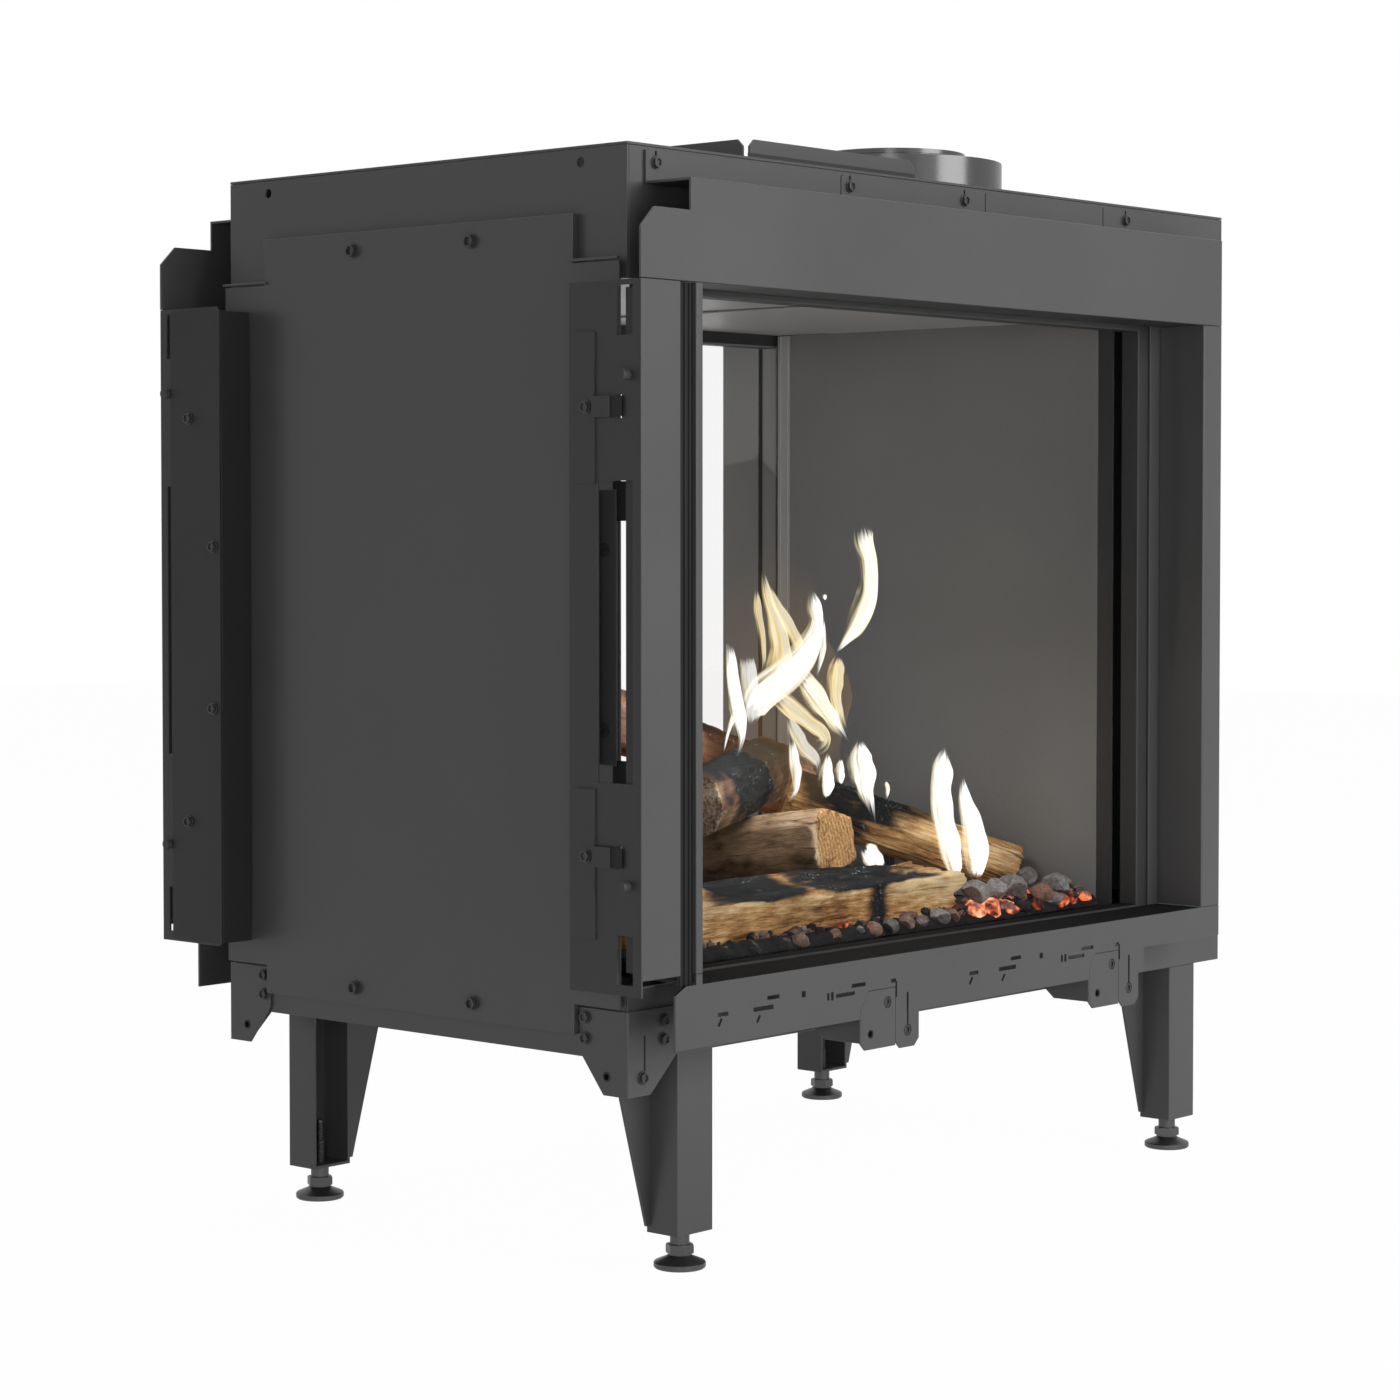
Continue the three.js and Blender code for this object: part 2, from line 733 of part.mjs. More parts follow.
function bracketSolid(spot) {
  const right = tabLeft(spot) - seat;
  const left = right - bracketWidth;
  const bottom = windowBottom - bracketDrop;
  const flange = [
    [-frameBack - sheet / 2, bottom + tabChamfer],
    [-halfDepth - bracketChamferIn, bottom + tabChamfer],
    [-halfDepth - seat, bottom + bracketChamferDown],
    [-halfDepth - seat, bottom + bracketHeight - bracketChamferDown],
    [-frameBack - sheet / 2, bottom + bracketHeight - bracketChamferDown],
  ];
  return plateXZ(bracketOutline(right, 0), -frameFace, -frameBack).add(plateYZ(flange, left, left + sheet));
}

function addSurrounds() {
  const parts = {
    header: headerSolid(),
    left_stile: leftStileSolid(),
    right_stile: rightStileSolid(windowRightMargin),
    sill: sillSolid(),
    left_bracket: bracketSolid(tabSpots[0]),
    right_bracket: bracketSolid(tabSpots[1]),
  };
  const backParts = { ...parts, right_stile: rightStileSolid(backWindowRightMargin) };
  for (const name of Object.keys(parts)) {
    add(`front_${name}`, parts[name], steel);
    add(`back_${name}`, mirrorDepth(backParts[name]), steel);
  }
  const face = frameLeft - sheet - seat;
  const outer = frameFace - stripCoverEdge;
  add('back_channel_cover', block(face - sheet, face, outer - stripCoverWidth, outer, stripCoverBottom,
    stripCoverTop), steel);
}

// Left side cover: a shallow pan with two wings, held by four hexagon bolts
function addSideCover() {
  const face = -half - coverStand;
  const pan = plateYZ(rectangle(-coverPanReach, coverPanReach, coverBottom, coverTop), face, -half - seat);
  const pocket = plateYZ(rectangle(-coverPanReach + sheet, coverPanReach - sheet, coverBottom + sheet,
    coverTop - sheet), face + sheet, -half + overrun);
  const wings = plateYZ(rectangle(-coverWingReach, coverWingReach, coverWingBottom, coverWingTop), face,
    face + sheet);
  let cover = pan.subtract(pocket).add(wings);
  const spots = [[-boltReach, boltHigh], [boltReach, boltHigh], [-boltReach, boltLow], [boltReach, boltLow]];
  spots.forEach(([y, z], i) => {
    cover = cover.subtract(boltHole(y, z));
    const headRadius = boltAcross / 2 / Math.cos(Math.PI / 6);
    const head = rodX(y, z, headRadius, face - seat - boltHead, face - seat, 6);
    const shank = rodX(y, z, boltShank, face - seat - boltHead / 2, -half + sheet / 2, roundSides / 2);
    add(`cover_bolt_${i + 1}`, head.add(shank), hardware);
  });
  add('left_side_cover', cover, steel);
}

// Corner brackets on the left end of the base
function addCornerBrackets() {
  const outerX = -half - seat - sheet;
  const outerY = halfDepth + seat + sheet;
  const side = [
    [-outerY, cornerBracketBottom],
    [-outerY + cornerBracketFoot, cornerBracketBottom],
    [-outerY + cornerBracketSide, cornerBracketBottom + cornerBracketRise],
    [-outerY + cornerBracketSide, cornerBracketTop],
    [-outerY, cornerBracketTop],
  ];
  const front = [
    [outerX, cornerBracketBottom],
    [outerX + cornerBracketFoot, cornerBracketBottom],
    [outerX + cornerBracketFront, cornerBracketBottom + cornerBracketRise],
    [outerX + cornerBracketFront, cornerBracketTop],
    [outerX, cornerBracketTop],
  ];
  const bracket = plateYZ(side, outerX, outerX + sheet).add(plateXZ(front, -outerY, -outerY + sheet));
  add('front_corner_bracket', bracket, steel);
  add('back_corner_bracket', mirrorDepth(bracket), steel);
}

// One leg about its own axis: a channel open to the back, a tapered wing on its left edge,
// a top plate under the base and a bottom plate that takes the foot
function legSolid() {
  const top = baseBottom - seat;
  const x0 = -legWidth / 2;
  const x1 = legWidth / 2;
  const y0 = -legDepth / 2;
  const y1 = legDepth / 2;
  const channel = [
    [x0, y0],
    [x1, y0],
    [x1, y1],
    [x1 - legSheet, y1],
    [x1 - legSheet, y0 + legSheet],
    [x0 + legSheet, y0 + legSheet],
    [x0 + legSheet, y1],
    [x0, y1],
  ];
  const wing = [
    [x0 + legSheet / 2, legBottom + legWingCut],
    [x0 + legSheet / 2, top],
    [x0 - legWingTop, top],
    [x0 - legWingFoot, legBottom + legWingCut],
  ];
  return columnXY(channel, legBottom, top)
    .add(plateXZ(wing, y1 - legSheet, y1))
    .add(block(x0, x1, y0, y1, legBottom, legBottom + legSheet))
    .add(block(x0, x1, y0, y1, top - legSheet, top))
    .subtract(rodZ(0, 0, studBodyRadius + seat, legBottom - overrun, legBottom + legSheet + overrun));
}

// Levelling foot about its own axis: pad, hexagon, boss under the leg and a threaded stud
function footSolid() {
  const bossTop = legBottom - seat;
  const profile = [
    [0, 0],
    [padRadius - padRim / 4, 0],
    [padRadius, padRim / 4],
    [padRadius, padRim],
    [padNeck, padHeight],
    [footBossRadius, padHeight],
    [footBossRadius, bossTop],
    [studBodyRadius, bossTop],
    [studBodyRadius, studBodyTop],
    [studTipRadius, studBodyTop],
    [studTipRadius, studTipTop],
    [0, studTipTop],
  ].map(([r, z]) => new THREE.Vector2(r, z));
  const turned = new THREE.LatheGeometry(profile, roundSides);
  turned.rotateX(Math.PI / 2);
  const hexRadius = footHexAcross / 2 / Math.cos(Math.PI / 6);
  const hex = rodZ(0, 0, hexRadius, padHeight - padRim / 4, padHeight + footHexHeight, 6);
  return solidOf(turned).add(hex);
}

// The four legs are alike: those at the back are turned half way round
function addLegs() {
  const leg = geometryOf(legSolid());
  const foot = geometryOf(footSolid());
  const y = halfDepth - legInset - legDepth / 2;
  for (const [side, sx] of [['left', -1], ['right', 1]]) {
    for (const [end, sy] of [['front', -1], ['back', 1]]) {
      const x = sx < 0 ? -half + legLeftInset : half - legRightInset;
      const legMesh = new THREE.Mesh(leg, steel);
      legMesh.name = `${end}_${side}_leg`;
      legMesh.position.set(x, sy * y, 0);
      legMesh.rotation.z = sy > 0 ? Math.PI : 0;
      const footMesh = new THREE.Mesh(foot, hardware);
      footMesh.name = `${end}_${side}_foot`;
      footMesh.position.set(x, sy * y, 0);
      fireplace.add(legMesh, footMesh);
    }
  }
}

// Burner of two tubes and two cross tubes, lying on the deck
function burnerSolid(grow) {
  const z = deckTop + seat + burnerRadius;
  const tube = burnerRadius + grow;
  const x0 = fireCentre - burnerReach - grow;
  const x1 = fireCentre + burnerReach + grow;
  const bars = [-burnerSpacing / 2, burnerSpacing / 2].map((y) => rodX(y, z, tube, x0, x1, roundSides / 2));
  const cross = new THREE.CylinderGeometry(tube, tube, burnerSpacing, roundSides / 2);
  cross.translate(fireCentre, 0, z);
  return bars[0].add(bars[1]).add(solidOf(cross));
}

// Pilot: a bracket on the deck with its electrode and flame rods
function pilotSolid(grow) {
  const bottom = deckTop + seat;
  const x = fireCentre + burnerReach + pilotWidth;
  const y0 = -grow;
  const y1 = pilotDepth + grow;
  let pilot = block(x - grow, x + pilotWidth + grow, y0, y1, bottom - grow, bottom + pilotSheet + grow)
    .add(block(x - grow, x + pilotSheet + grow, y0, y1, bottom, bottom + pilotHeight / 2 + grow));
  for (const step of [1, 2, 3]) {
    const rodPlace = x + step * pilotWidth / 4;
    const rod = rodZ(rodPlace, pilotDepth / 2, pilotRodRadius + grow, bottom + pilotSheet / 2,
      bottom + pilotHeight + grow, roundSides / 2);
    pilot = pilot.add(rod);
  }
  return pilot;
}

// Gas pipe: through the right rail into the base, round a bend and up through the deck to the burner
function addGasPipe() {
  const z = baseBottom + pipeHeight;
  const path = new THREE.CurvePath();
  const start = new THREE.Vector3(half, pipeBack, z);
  const bendStart = new THREE.Vector3(fireCentre + pipeBend, pipeBack, z);
  const corner = new THREE.Vector3(fireCentre, pipeBack, z);
  const bendEnd = new THREE.Vector3(fireCentre, pipeBack, z + pipeBend);
  path.add(new THREE.LineCurve3(start, bendStart));
  path.add(new THREE.QuadraticBezierCurve3(bendStart, corner, bendEnd));
  path.add(new THREE.LineCurve3(bendEnd, new THREE.Vector3(fireCentre, pipeBack, deckTop)));
  const ring = [];
  for (let i = 0; i < roundSides / 2; i += 1) {
    const angle = (i * Math.PI * 4) / roundSides;
    ring.push(new THREE.Vector2(pipeRadius * Math.cos(angle), pipeRadius * Math.sin(angle)));
  }
  const tube = new THREE.ExtrudeGeometry(new THREE.Shape(ring), { steps: roundSides * 2, extrudePath: path });
  add('gas_pipe', solidOf(tube), hardware);
}

// A place in the firebox from shares of its width, depth and height
function firePoint([across, deep, high]) {
  const x = fireCentre + across * fireWidth;
  return new THREE.Vector3(x, deep * wallReach * 2, deckTop + high * paneHeight);
}

// A log as a prism between its two ends, its section standing upright
function logSolid(name, grow) {
  const [start, end] = logEndShares[name].map(firePoint);
  const [widthShare, heightShare] = logSizeShares[name];
  const width = widthShare * wallReach * 2;
  const height = heightShare * paneHeight;
  const section = logSectionShares[name].map(([a, b]) => [a * (width + grow * 2), b * (height + grow * 2)]);
  const along = end.clone().sub(start).normalize();
  const across = new THREE.Vector3(0, 0, 1).cross(along).normalize();
  const upward = along.clone().cross(across);
  const geometry = extruded(section, start.distanceTo(end) + grow * 2);
  geometry.translate(0, 0, -grow);
  geometry.applyMatrix4(new THREE.Matrix4().makeBasis(across, upward, along));
  geometry.translate(start.x, start.y, start.z);
  return solidOf(geometry);
}

// The fire: burner and pilot on the deck, the ember bed over the burner, and the logs on it
function addFire() {
  add('burner', burnerSolid(0), hardware);
  add('pilot', pilotSolid(0), hardware);
  addGasPipe();

  const bottom = deckTop + seat;
  const x0 = wallLeft + sheet + emberEdge;
  const x1 = wallRight - emberEdge;
  const bedTop = bottom + emberHeight;
  const reach = paneInner - emberFrontEdge;
  const bedProfile = [
    [-reach, bottom],
    [reach, bottom],
    [reach, bottom + emberHeight / 3],
    [reach - emberSlope, bedTop],
    [-reach + emberSlope, bedTop],
    [-reach, bottom + emberHeight / 3],
  ];
  let bed = plateYZ(bedProfile, x0, x1)
    .subtract(burnerSolid(seat))
    .subtract(pilotSolid(seat));
  const names = Object.keys(logSizeShares);
  const placed = [];
  for (const name of names) {
    let log = logSolid(name, 0);
    for (const other of placed) {
      log = log.subtract(logSolid(other, seat));
    }
    log = log.subtract(pilotSolid(seat));
    bed = bed.subtract(logSolid(name, seat));
    placed.push(name);
    add(name, log, wood);
  }
  add('ember_bed', bed, ember);
}

addBase();
addCasing();
addTopPlate();
addFlue();
addFirebox();
addWindows();
addSurrounds();
addSideCover();
addCornerBrackets();
addLegs();
addFire();

// The origin is on the floor, under the middle of the whole outline
const outline = new THREE.Box3().setFromObject(fireplace);
const centre = outline.getCenter(new THREE.Vector3());
fireplace.position.set(-centre.x, -centre.y, -outline.min.z);
fireplace.updateMatrixWorld(true);

export default fireplace;
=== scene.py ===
import math
import random

import bmesh
import bpy
from mathutils import Matrix, Vector, noise


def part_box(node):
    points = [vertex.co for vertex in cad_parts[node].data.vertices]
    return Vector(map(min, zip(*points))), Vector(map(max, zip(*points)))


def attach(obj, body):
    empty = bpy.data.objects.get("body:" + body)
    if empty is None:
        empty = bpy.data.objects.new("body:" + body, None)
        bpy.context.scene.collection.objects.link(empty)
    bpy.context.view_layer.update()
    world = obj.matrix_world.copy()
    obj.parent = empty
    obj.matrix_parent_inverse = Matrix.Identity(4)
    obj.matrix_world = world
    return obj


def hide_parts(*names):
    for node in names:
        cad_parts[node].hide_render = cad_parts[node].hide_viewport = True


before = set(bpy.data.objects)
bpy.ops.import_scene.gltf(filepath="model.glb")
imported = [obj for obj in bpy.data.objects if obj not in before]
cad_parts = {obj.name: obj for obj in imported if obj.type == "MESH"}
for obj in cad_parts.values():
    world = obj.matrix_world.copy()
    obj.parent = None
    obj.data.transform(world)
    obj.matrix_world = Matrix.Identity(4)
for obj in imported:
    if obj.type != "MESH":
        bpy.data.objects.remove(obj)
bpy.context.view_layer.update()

# Studio: a plain pale floor and a white surround, a broad soft lamp at the front right, weaker ones
# low at the front, beside the camera and above, and the camera at the photograph's angle.
scene = bpy.context.scene
scene.view_settings.view_transform = "Standard"
pure_white = (1, 1, 1, 1)


def feed(tree, node, values):
    """Set a node's inputs, by name or number: a socket is linked, anything else is the value."""
    for name, value in values.items():
        if isinstance(value, bpy.types.NodeSocket):
            tree.links.new(value, node.inputs[name])
        else:
            node.inputs[name].default_value = value


def add_node(tree, kind, values=None, **settings):
    node = tree.nodes.new("ShaderNode" + kind)
    for name, value in settings.items():
        setattr(node, name, value)
    feed(tree, node, values or {})
    return node


def maths(tree, operation, *values):
    return add_node(tree, "Math", dict(enumerate(values)), operation=operation).outputs[0]


def seen_directly(tree):
    """1 for what is seen straight or through glass, less for what is seen in a reflection."""
    mirrored_share = 0.66
    ray = add_node(tree, "LightPath").outputs
    mirrored = maths(tree, "MULTIPLY", ray["Is Glossy Ray"], mirrored_share)
    either = maths(tree, "MAXIMUM", ray["Is Camera Ray"], mirrored)
    return maths(tree, "MAXIMUM", either, ray["Is Transmission Ray"])


def fresh(primitive, **settings):
    """A new primitive mesh, added with nothing else selected."""
    bpy.ops.object.select_all(action="DESELECT")
    primitive(**settings)
    return bpy.context.object


world = bpy.data.worlds.new("white_surround")
world.use_nodes = True
scene.world = world
sky = world.node_tree
sky.nodes.clear()
room_light, white_view = [add_node(sky, "Background", {"Color": pure_white, "Strength": strength})
                          for strength in (0.08, 1.0)]
sky_mix = add_node(sky, "MixShader", {0: seen_directly(sky), 1: room_light.outputs[0],
                                      2: white_view.outputs[0]})
add_node(sky, "OutputWorld", {0: sky_mix.outputs[0]})

floor_white_share = 0.985
floor = fresh(bpy.ops.mesh.primitive_plane_add, size=16)
floor.name = "studio_floor"
floor_paint = bpy.data.materials.new("pale_floor")
floor_paint.use_nodes = True
tree = floor_paint.node_tree
tree.nodes.clear()
matt = add_node(tree, "BsdfDiffuse", {"Color": (0.86, 0.86, 0.86, 1)})
glow = add_node(tree, "Emission", {"Color": pure_white, "Strength": 1.0})
share = maths(tree, "MULTIPLY", seen_directly(tree), floor_white_share)
floor_mix = add_node(tree, "MixShader", {0: share, 1: matt.outputs[0], 2: glow.outputs[0]})
add_node(tree, "OutputMaterial", {0: floor_mix.outputs[0]})
floor.data.materials.append(floor_paint)


def add_lamp(name, place, size, watts, aim=(0, 0, 0.45)):
    bpy.ops.object.light_add(type="AREA", location=place)
    lamp = bpy.context.object
    lamp.name = name
    lamp.data.size = size
    lamp.data.energy = watts
    lamp.rotation_euler = (Vector(aim) - Vector(place)).to_track_quat("-Z", "Y").to_euler()


add_lamp("lamp_front_right", (1.1, -3.7, 1.9), 2.4, 65)
add_lamp("lamp_front_low", (-0.9, -3.8, 0.35), 1.2, 18)
add_lamp("lamp_by_the_camera", (-2.9, -2.3, 0.7), 0.9, 13)
add_lamp("lamp_above", (0.2, 0.5, 4.2), 2.5, 46)

bpy.ops.object.camera_add(location=(-2.18955, -1.8834, 0.5589),
                          rotation=(math.radians(88.074), 0, math.radians(-48.654)))
camera = bpy.context.object
camera.data.lens = 86.0
camera.data.sensor_width = 36
camera.data.shift_y = -0.0396
scene.camera = camera

# Base: two folded beams, two end rails and a bottom plate. Folded 2 mm steel sheet with a bend
# radius of about 1.5 mm, powder coated in matt graphite, riveted and screwed together.


def only(piece):
    bpy.ops.object.select_all(action="DESELECT")
    piece.select_set(True)
    bpy.context.view_layer.objects.active = piece


def apply_modifier(piece, kind, **settings):
    only(piece)
    modifier = piece.modifiers.new(kind.lower(), kind)
    for name, value in settings.items():
        setattr(modifier, name, value)
    bpy.ops.object.modifier_apply(modifier=modifier.name)


def bare_copy(node, name):
    """A copy of a solid's mesh, with its triangles merged back to flat faces."""
    piece = bpy.data.objects.new(name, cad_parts[node].data.copy())
    scene.collection.objects.link(piece)
    piece.data.materials.clear()
    only(piece)
    bpy.ops.mesh.customdata_custom_splitnormals_clear()
    bpy.ops.object.mode_set(mode="EDIT")
    bpy.ops.mesh.select_all(action="SELECT")
    bpy.ops.mesh.remove_doubles(threshold=0.00002)
    bpy.ops.mesh.dissolve_limited(angle_limit=math.radians(1))
    bpy.ops.object.mode_set(mode="OBJECT")
    return piece


def weigh_edges(piece, cut_share):
    """Full bevel weight on the folds between broad faces, a share of it along the sheet's cut edges."""
    sheet_edge = 0.0027
    smallest_fold = math.radians(25)
    mesh = bmesh.new()
    mesh.from_mesh(piece.data)
    weight = mesh.edges.layers.float.new("bevel_weight_edge")
    for edge in mesh.edges:
        if len(edge.link_faces) != 2 or not edge.is_convex:
            continue
        if edge.calc_face_angle(0) < smallest_fold:
            continue
        widths = [2 * face.calc_area() / face.calc_perimeter() for face in edge.link_faces]
        edge[weight] = 1.0 if min(widths) > sheet_edge else cut_share
    mesh.to_mesh(piece.data)
    mesh.free()


def cut_away(piece, holes, slots):
    """holes: place, axis, radius. slots: place, width and height in the XZ plane, lean about Y."""
    drill_depth, slot_depth = 0.014, 0.01
    turns = {"X": (0, math.pi / 2, 0), "Y": (math.pi / 2, 0, 0)}
    cutters = [fresh(bpy.ops.mesh.primitive_cylinder_add, vertices=20, radius=radius, depth=drill_depth,
                     location=place, rotation=turns[axis]) for place, axis, radius in holes]
    cutters += [fresh(bpy.ops.mesh.primitive_cube_add, size=1, location=place,
                      scale=(width, slot_depth, height), rotation=(0, math.radians(lean), 0))
                for place, width, height, lean in slots]
    for cutter in cutters:
        apply_modifier(piece, "BOOLEAN", operation="DIFFERENCE", solver="EXACT", object=cutter)
        bpy.data.objects.remove(cutter)


def crisp(piece, angle):
    only(piece)
    bpy.ops.object.shade_smooth_by_angle(angle=math.radians(angle))
    apply_modifier(piece, "WEIGHTED_NORMAL", keep_sharp=True, weight=80)


def dress(piece, finish, node=None, body="fireplace", angle=34):
    """Smooth a piece, give it its material and body, and let it stand for its solid if it has one."""
    crisp(piece, angle)
    piece.data.materials.append(finish)
    if node:
        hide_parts(node)
    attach(piece, body)
    return piece


def extra_coat(piece, finish, chosen):
    """Another finish on the faces that are chosen."""
    piece.data.materials.append(finish)
    for face in piece.data.polygons:
        if chosen(face):
            face.material_index = len(piece.data.materials) - 1


def folded_sheet(node, finish, bend=0.0016, holes=(), slots=()):
    """A solid's sheet with rounded folds and broken edges, kept within the solid's own box."""
    broken_edge = 0.0004
    piece = bare_copy(node, node + "_sheet")
    weigh_edges(piece, broken_edge / bend)
    apply_modifier(piece, "BEVEL", limit_method="WEIGHT", width=bend, segments=3)
    low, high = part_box(node)
    for vertex in piece.data.vertices:
        vertex.co = [min(max(vertex.co[i], low[i]), high[i]) for i in range(3)]
    if holes or slots:
        cut_away(piece, holes, slots)
    return dress(piece, finish, node)


def noise_at(tree, place, scale, detail, rough):
    values = {"Vector": place, "Scale": scale, "Detail": detail, "Roughness": rough}
    return add_node(tree, "TexNoise", values).outputs["Fac"]


def spread(tree, value, low, high, to_low=0.0, to_high=1.0, **settings):
    """A value mapped from one range to another, and held within it."""
    values = {"Value": value, "From Min": low, "From Max": high, "To Min": to_low, "To Max": to_high}
    return add_node(tree, "MapRange", values, **settings).outputs[0]


def scaled(tree, colour, factor):
    return add_node(tree, "VectorMath", {0: colour, "Scale": factor}, operation="SCALE").outputs[0]


def bumped(tree, height, strength, distance):
    node = add_node(tree, "Bump", {"Height": height, "Strength": strength, "Distance": distance})
    return node.outputs["Normal"]


def powder_group():
    """Sprayed powder: tone and sheen drift over a hand's width, with a fine grain over both."""
    tree = bpy.data.node_groups.new("powder_coat", "ShaderNodeTree")
    for direction, names in (("INPUT", ("Colour", "Sheen low", "Sheen high", "Grain per metre")),
                             ("OUTPUT", ("Colour", "Roughness", "Height"))):
        for name in names:
            kind = "NodeSocketColor" if name == "Colour" else "NodeSocketFloat"
            tree.interface.new_socket(name, in_out=direction, socket_type=kind)
    given = tree.nodes.new("NodeGroupInput").outputs
    place = add_node(tree, "TexCoord").outputs["Object"]
    cloud = noise_at(tree, place, 5.0, 3.0, 0.55)
    grain = noise_at(tree, place, given["Grain per metre"], 2.0, 0.6)
    tone = maths(tree, "MULTIPLY", spread(tree, cloud, 0.3, 0.7, 0.94, 1.06),
                 spread(tree, grain, 0.3, 0.7, 0.97, 1.03))
    sheen = spread(tree, cloud, 0.35, 0.65, given["Sheen low"], given["Sheen high"])
    feed(tree, tree.nodes.new("NodeGroupOutput"), {"Colour": scaled(tree, given["Colour"], tone),
                                                   "Roughness": sheen, "Height": grain})
    return tree


powder_coat = powder_group()


def new_finish(name):
    finish = bpy.data.materials.new(name)
    finish.use_nodes = True
    return finish, finish.node_tree, finish.node_tree.nodes["Principled BSDF"]


def coated(name, colour, sheen, grain=900.0, depth=0.00006, metallic=0.0, specular=0.4):
    finish, tree, shader = new_finish(name)
    given = {"Colour": (*colour, 1), "Sheen low": sheen[0], "Sheen high": sheen[1], "Grain per metre": grain}
    coat = add_node(tree, "Group", given, node_tree=powder_coat).outputs
    feed(tree, shader, {"Metallic": metallic, "Specular IOR Level": specular, "Base Color": coat["Colour"],
                        "Roughness": coat["Roughness"], "Normal": bumped(tree, coat["Height"], 0.5, depth)})
    return finish


graphite = coated("graphite_powder_coat", (0.098, 0.098, 0.099), (0.3, 0.38), specular=0.5)
# Painted shade: a darker copy of the graphite paint, for undersides, channel sides, pane frames, hinge clips
# and recesses where shade falls.
painted_shade_coat = coated("graphite_painted_shade", (0.052, 0.052, 0.053), (0.4, 0.48))
# Matt black: the rivet nuts and the channel edges, and painted shade on the back channel cover, its return
# and the strip at the vent flap's foot.
black_and_shade_coat = coated("matt_black_and_painted_shade", (0.026, 0.026, 0.026), (0.45, 0.55))
# Flat black: the firebox deck, and painted shade on the top faces of the sills and of the pane frames'
# bottom rails.
flat_black_and_shade = coated("flat_black_and_painted_shade", (0.014, 0.014, 0.014), (0.85, 0.95), specular=0.05)
for node in ("front_beam", "back_beam", "left_rail", "right_rail", "base_plate"):
    folded_sheet(node, graphite)

# Corner brackets on the left end: folded 2 mm gussets, coated like the base, each held by hexagon
# screws, with one open hole in the side flange and an adjusting slot in the front one.
screw_steel = coated("coated_screws", (0.085, 0.085, 0.086), (0.3, 0.38), depth=0.00003, metallic=0.35)


def placed(primitive, **settings):
    """A new primitive whose place, turn and size are taken into its mesh."""
    piece = fresh(primitive, **settings)
    bpy.ops.object.transform_apply(location=True, rotation=True, scale=True)
    return piece


def sink_top(piece, rim, depth):
    """Press a recess into the highest face of a piece, leaving a rim of the given width."""
    only(piece)
    top = max(vertex.co.z for vertex in piece.data.vertices)
    bpy.ops.object.mode_set(mode="EDIT")
    bpy.ops.mesh.select_mode(type="FACE")
    bpy.ops.mesh.select_all(action="DESELECT")
    bpy.ops.object.mode_set(mode="OBJECT")
    for face in piece.data.polygons:
        face.select = face.normal.z > 0.9 and face.center.z > top - 0.0001
    bpy.ops.object.mode_set(mode="EDIT")
    bpy.ops.mesh.inset(thickness=rim)
    bpy.ops.mesh.extrude_region_move(TRANSFORM_OT_translate={"value": (0, 0, -depth)})
    bpy.ops.object.mode_set(mode="OBJECT")


def join_pieces(pieces, name):
    bpy.ops.object.select_all(action="DESELECT")
    for piece in pieces:
        piece.select_set(True)
    bpy.context.view_layer.objects.active = pieces[0]
    if len(pieces) > 1:
        bpy.ops.object.join()
    pieces[0].name = name
    return pieces[0]


def set_out(pattern, name, places, facing, finish):
    """Copies of a small pattern, modelled facing up at the origin, at the places given, as one piece."""
    turn = Vector((0, 0, 1)).rotation_difference(Vector(facing)).to_matrix().to_4x4()
    copies = []
    for place in places:
        copy = bpy.data.objects.new(name, pattern.data.copy())
        scene.collection.objects.link(copy)
        copy.data.transform(Matrix.Translation(Vector(place)) @ turn)
        copies.append(copy)
    bpy.data.objects.remove(pattern)
    return dress(join_pieces(copies, name), finish)


def screw(name, places, facing, flange=0.0052, across=0.0076, rise=0.0024):
    """Hexagon screws with a flange and a drive recess."""
    plate = 0.0009
    washer = placed(bpy.ops.mesh.primitive_cylinder_add, vertices=24, radius=flange, depth=plate,
                    location=(0, 0, plate / 2))
    hexagon = placed(bpy.ops.mesh.primitive_cylinder_add, vertices=6, radius=across / math.sqrt(3),
                     depth=rise, location=(0, 0, plate + rise / 2))
    sink_top(hexagon, across * 0.16, rise * 0.6)
    for part in (washer, hexagon):
        apply_modifier(part, "BEVEL", limit_method="ANGLE", angle_limit=math.radians(35), width=0.0003,
                       segments=2)
    return set_out(join_pieces([washer, hexagon], name), name, places, facing, screw_steel)


def blind_nut(name, places, facing):
    """Rivet nuts: a thin collar on the sheet and a blind threaded hole behind it."""
    hole, collar, proud, depth, bottom = 0.0026, 0.0012, 0.0003, 0.007, 0.001
    nut = placed(bpy.ops.mesh.primitive_cylinder_add, vertices=20, radius=hole + collar, depth=depth,
                 location=(0, 0, proud - depth / 2))
    sink_top(nut, collar, depth - bottom)
    return set_out(nut, name, places, facing, black_and_shade_coat)


open_hole_y, open_hole_z = 0.2013, 0.1552
for end, side in (("front", -1), ("back", 1)):
    low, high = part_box(f"{end}_corner_bracket")
    side_face = low.x
    front_face = side * max(abs(low.y), abs(high.y))
    open_hole = (side_face, side * open_hole_y, open_hole_z)
    folded_sheet(f"{end}_corner_bracket", graphite, holes=[(open_hole, "X", 0.0036)],
                 slots=[((-0.3645, front_face, 0.173), 0.0018, 0.0265, 0)])
    blind_nut(f"{end}_gusset_nut", [open_hole], (-1, 0, 0))
    screw(f"{end}_gusset_side_screws", [(side_face, side * 0.1801, z) for z in (0.1978, 0.1821)], (-1, 0, 0))
    screw(f"{end}_gusset_front_screws", [(x, front_face, z) for x, z in
                                         ((-0.3668, 0.1547), (-0.3434, 0.1953), (-0.3434, 0.1811))],
          (0, side, 0))

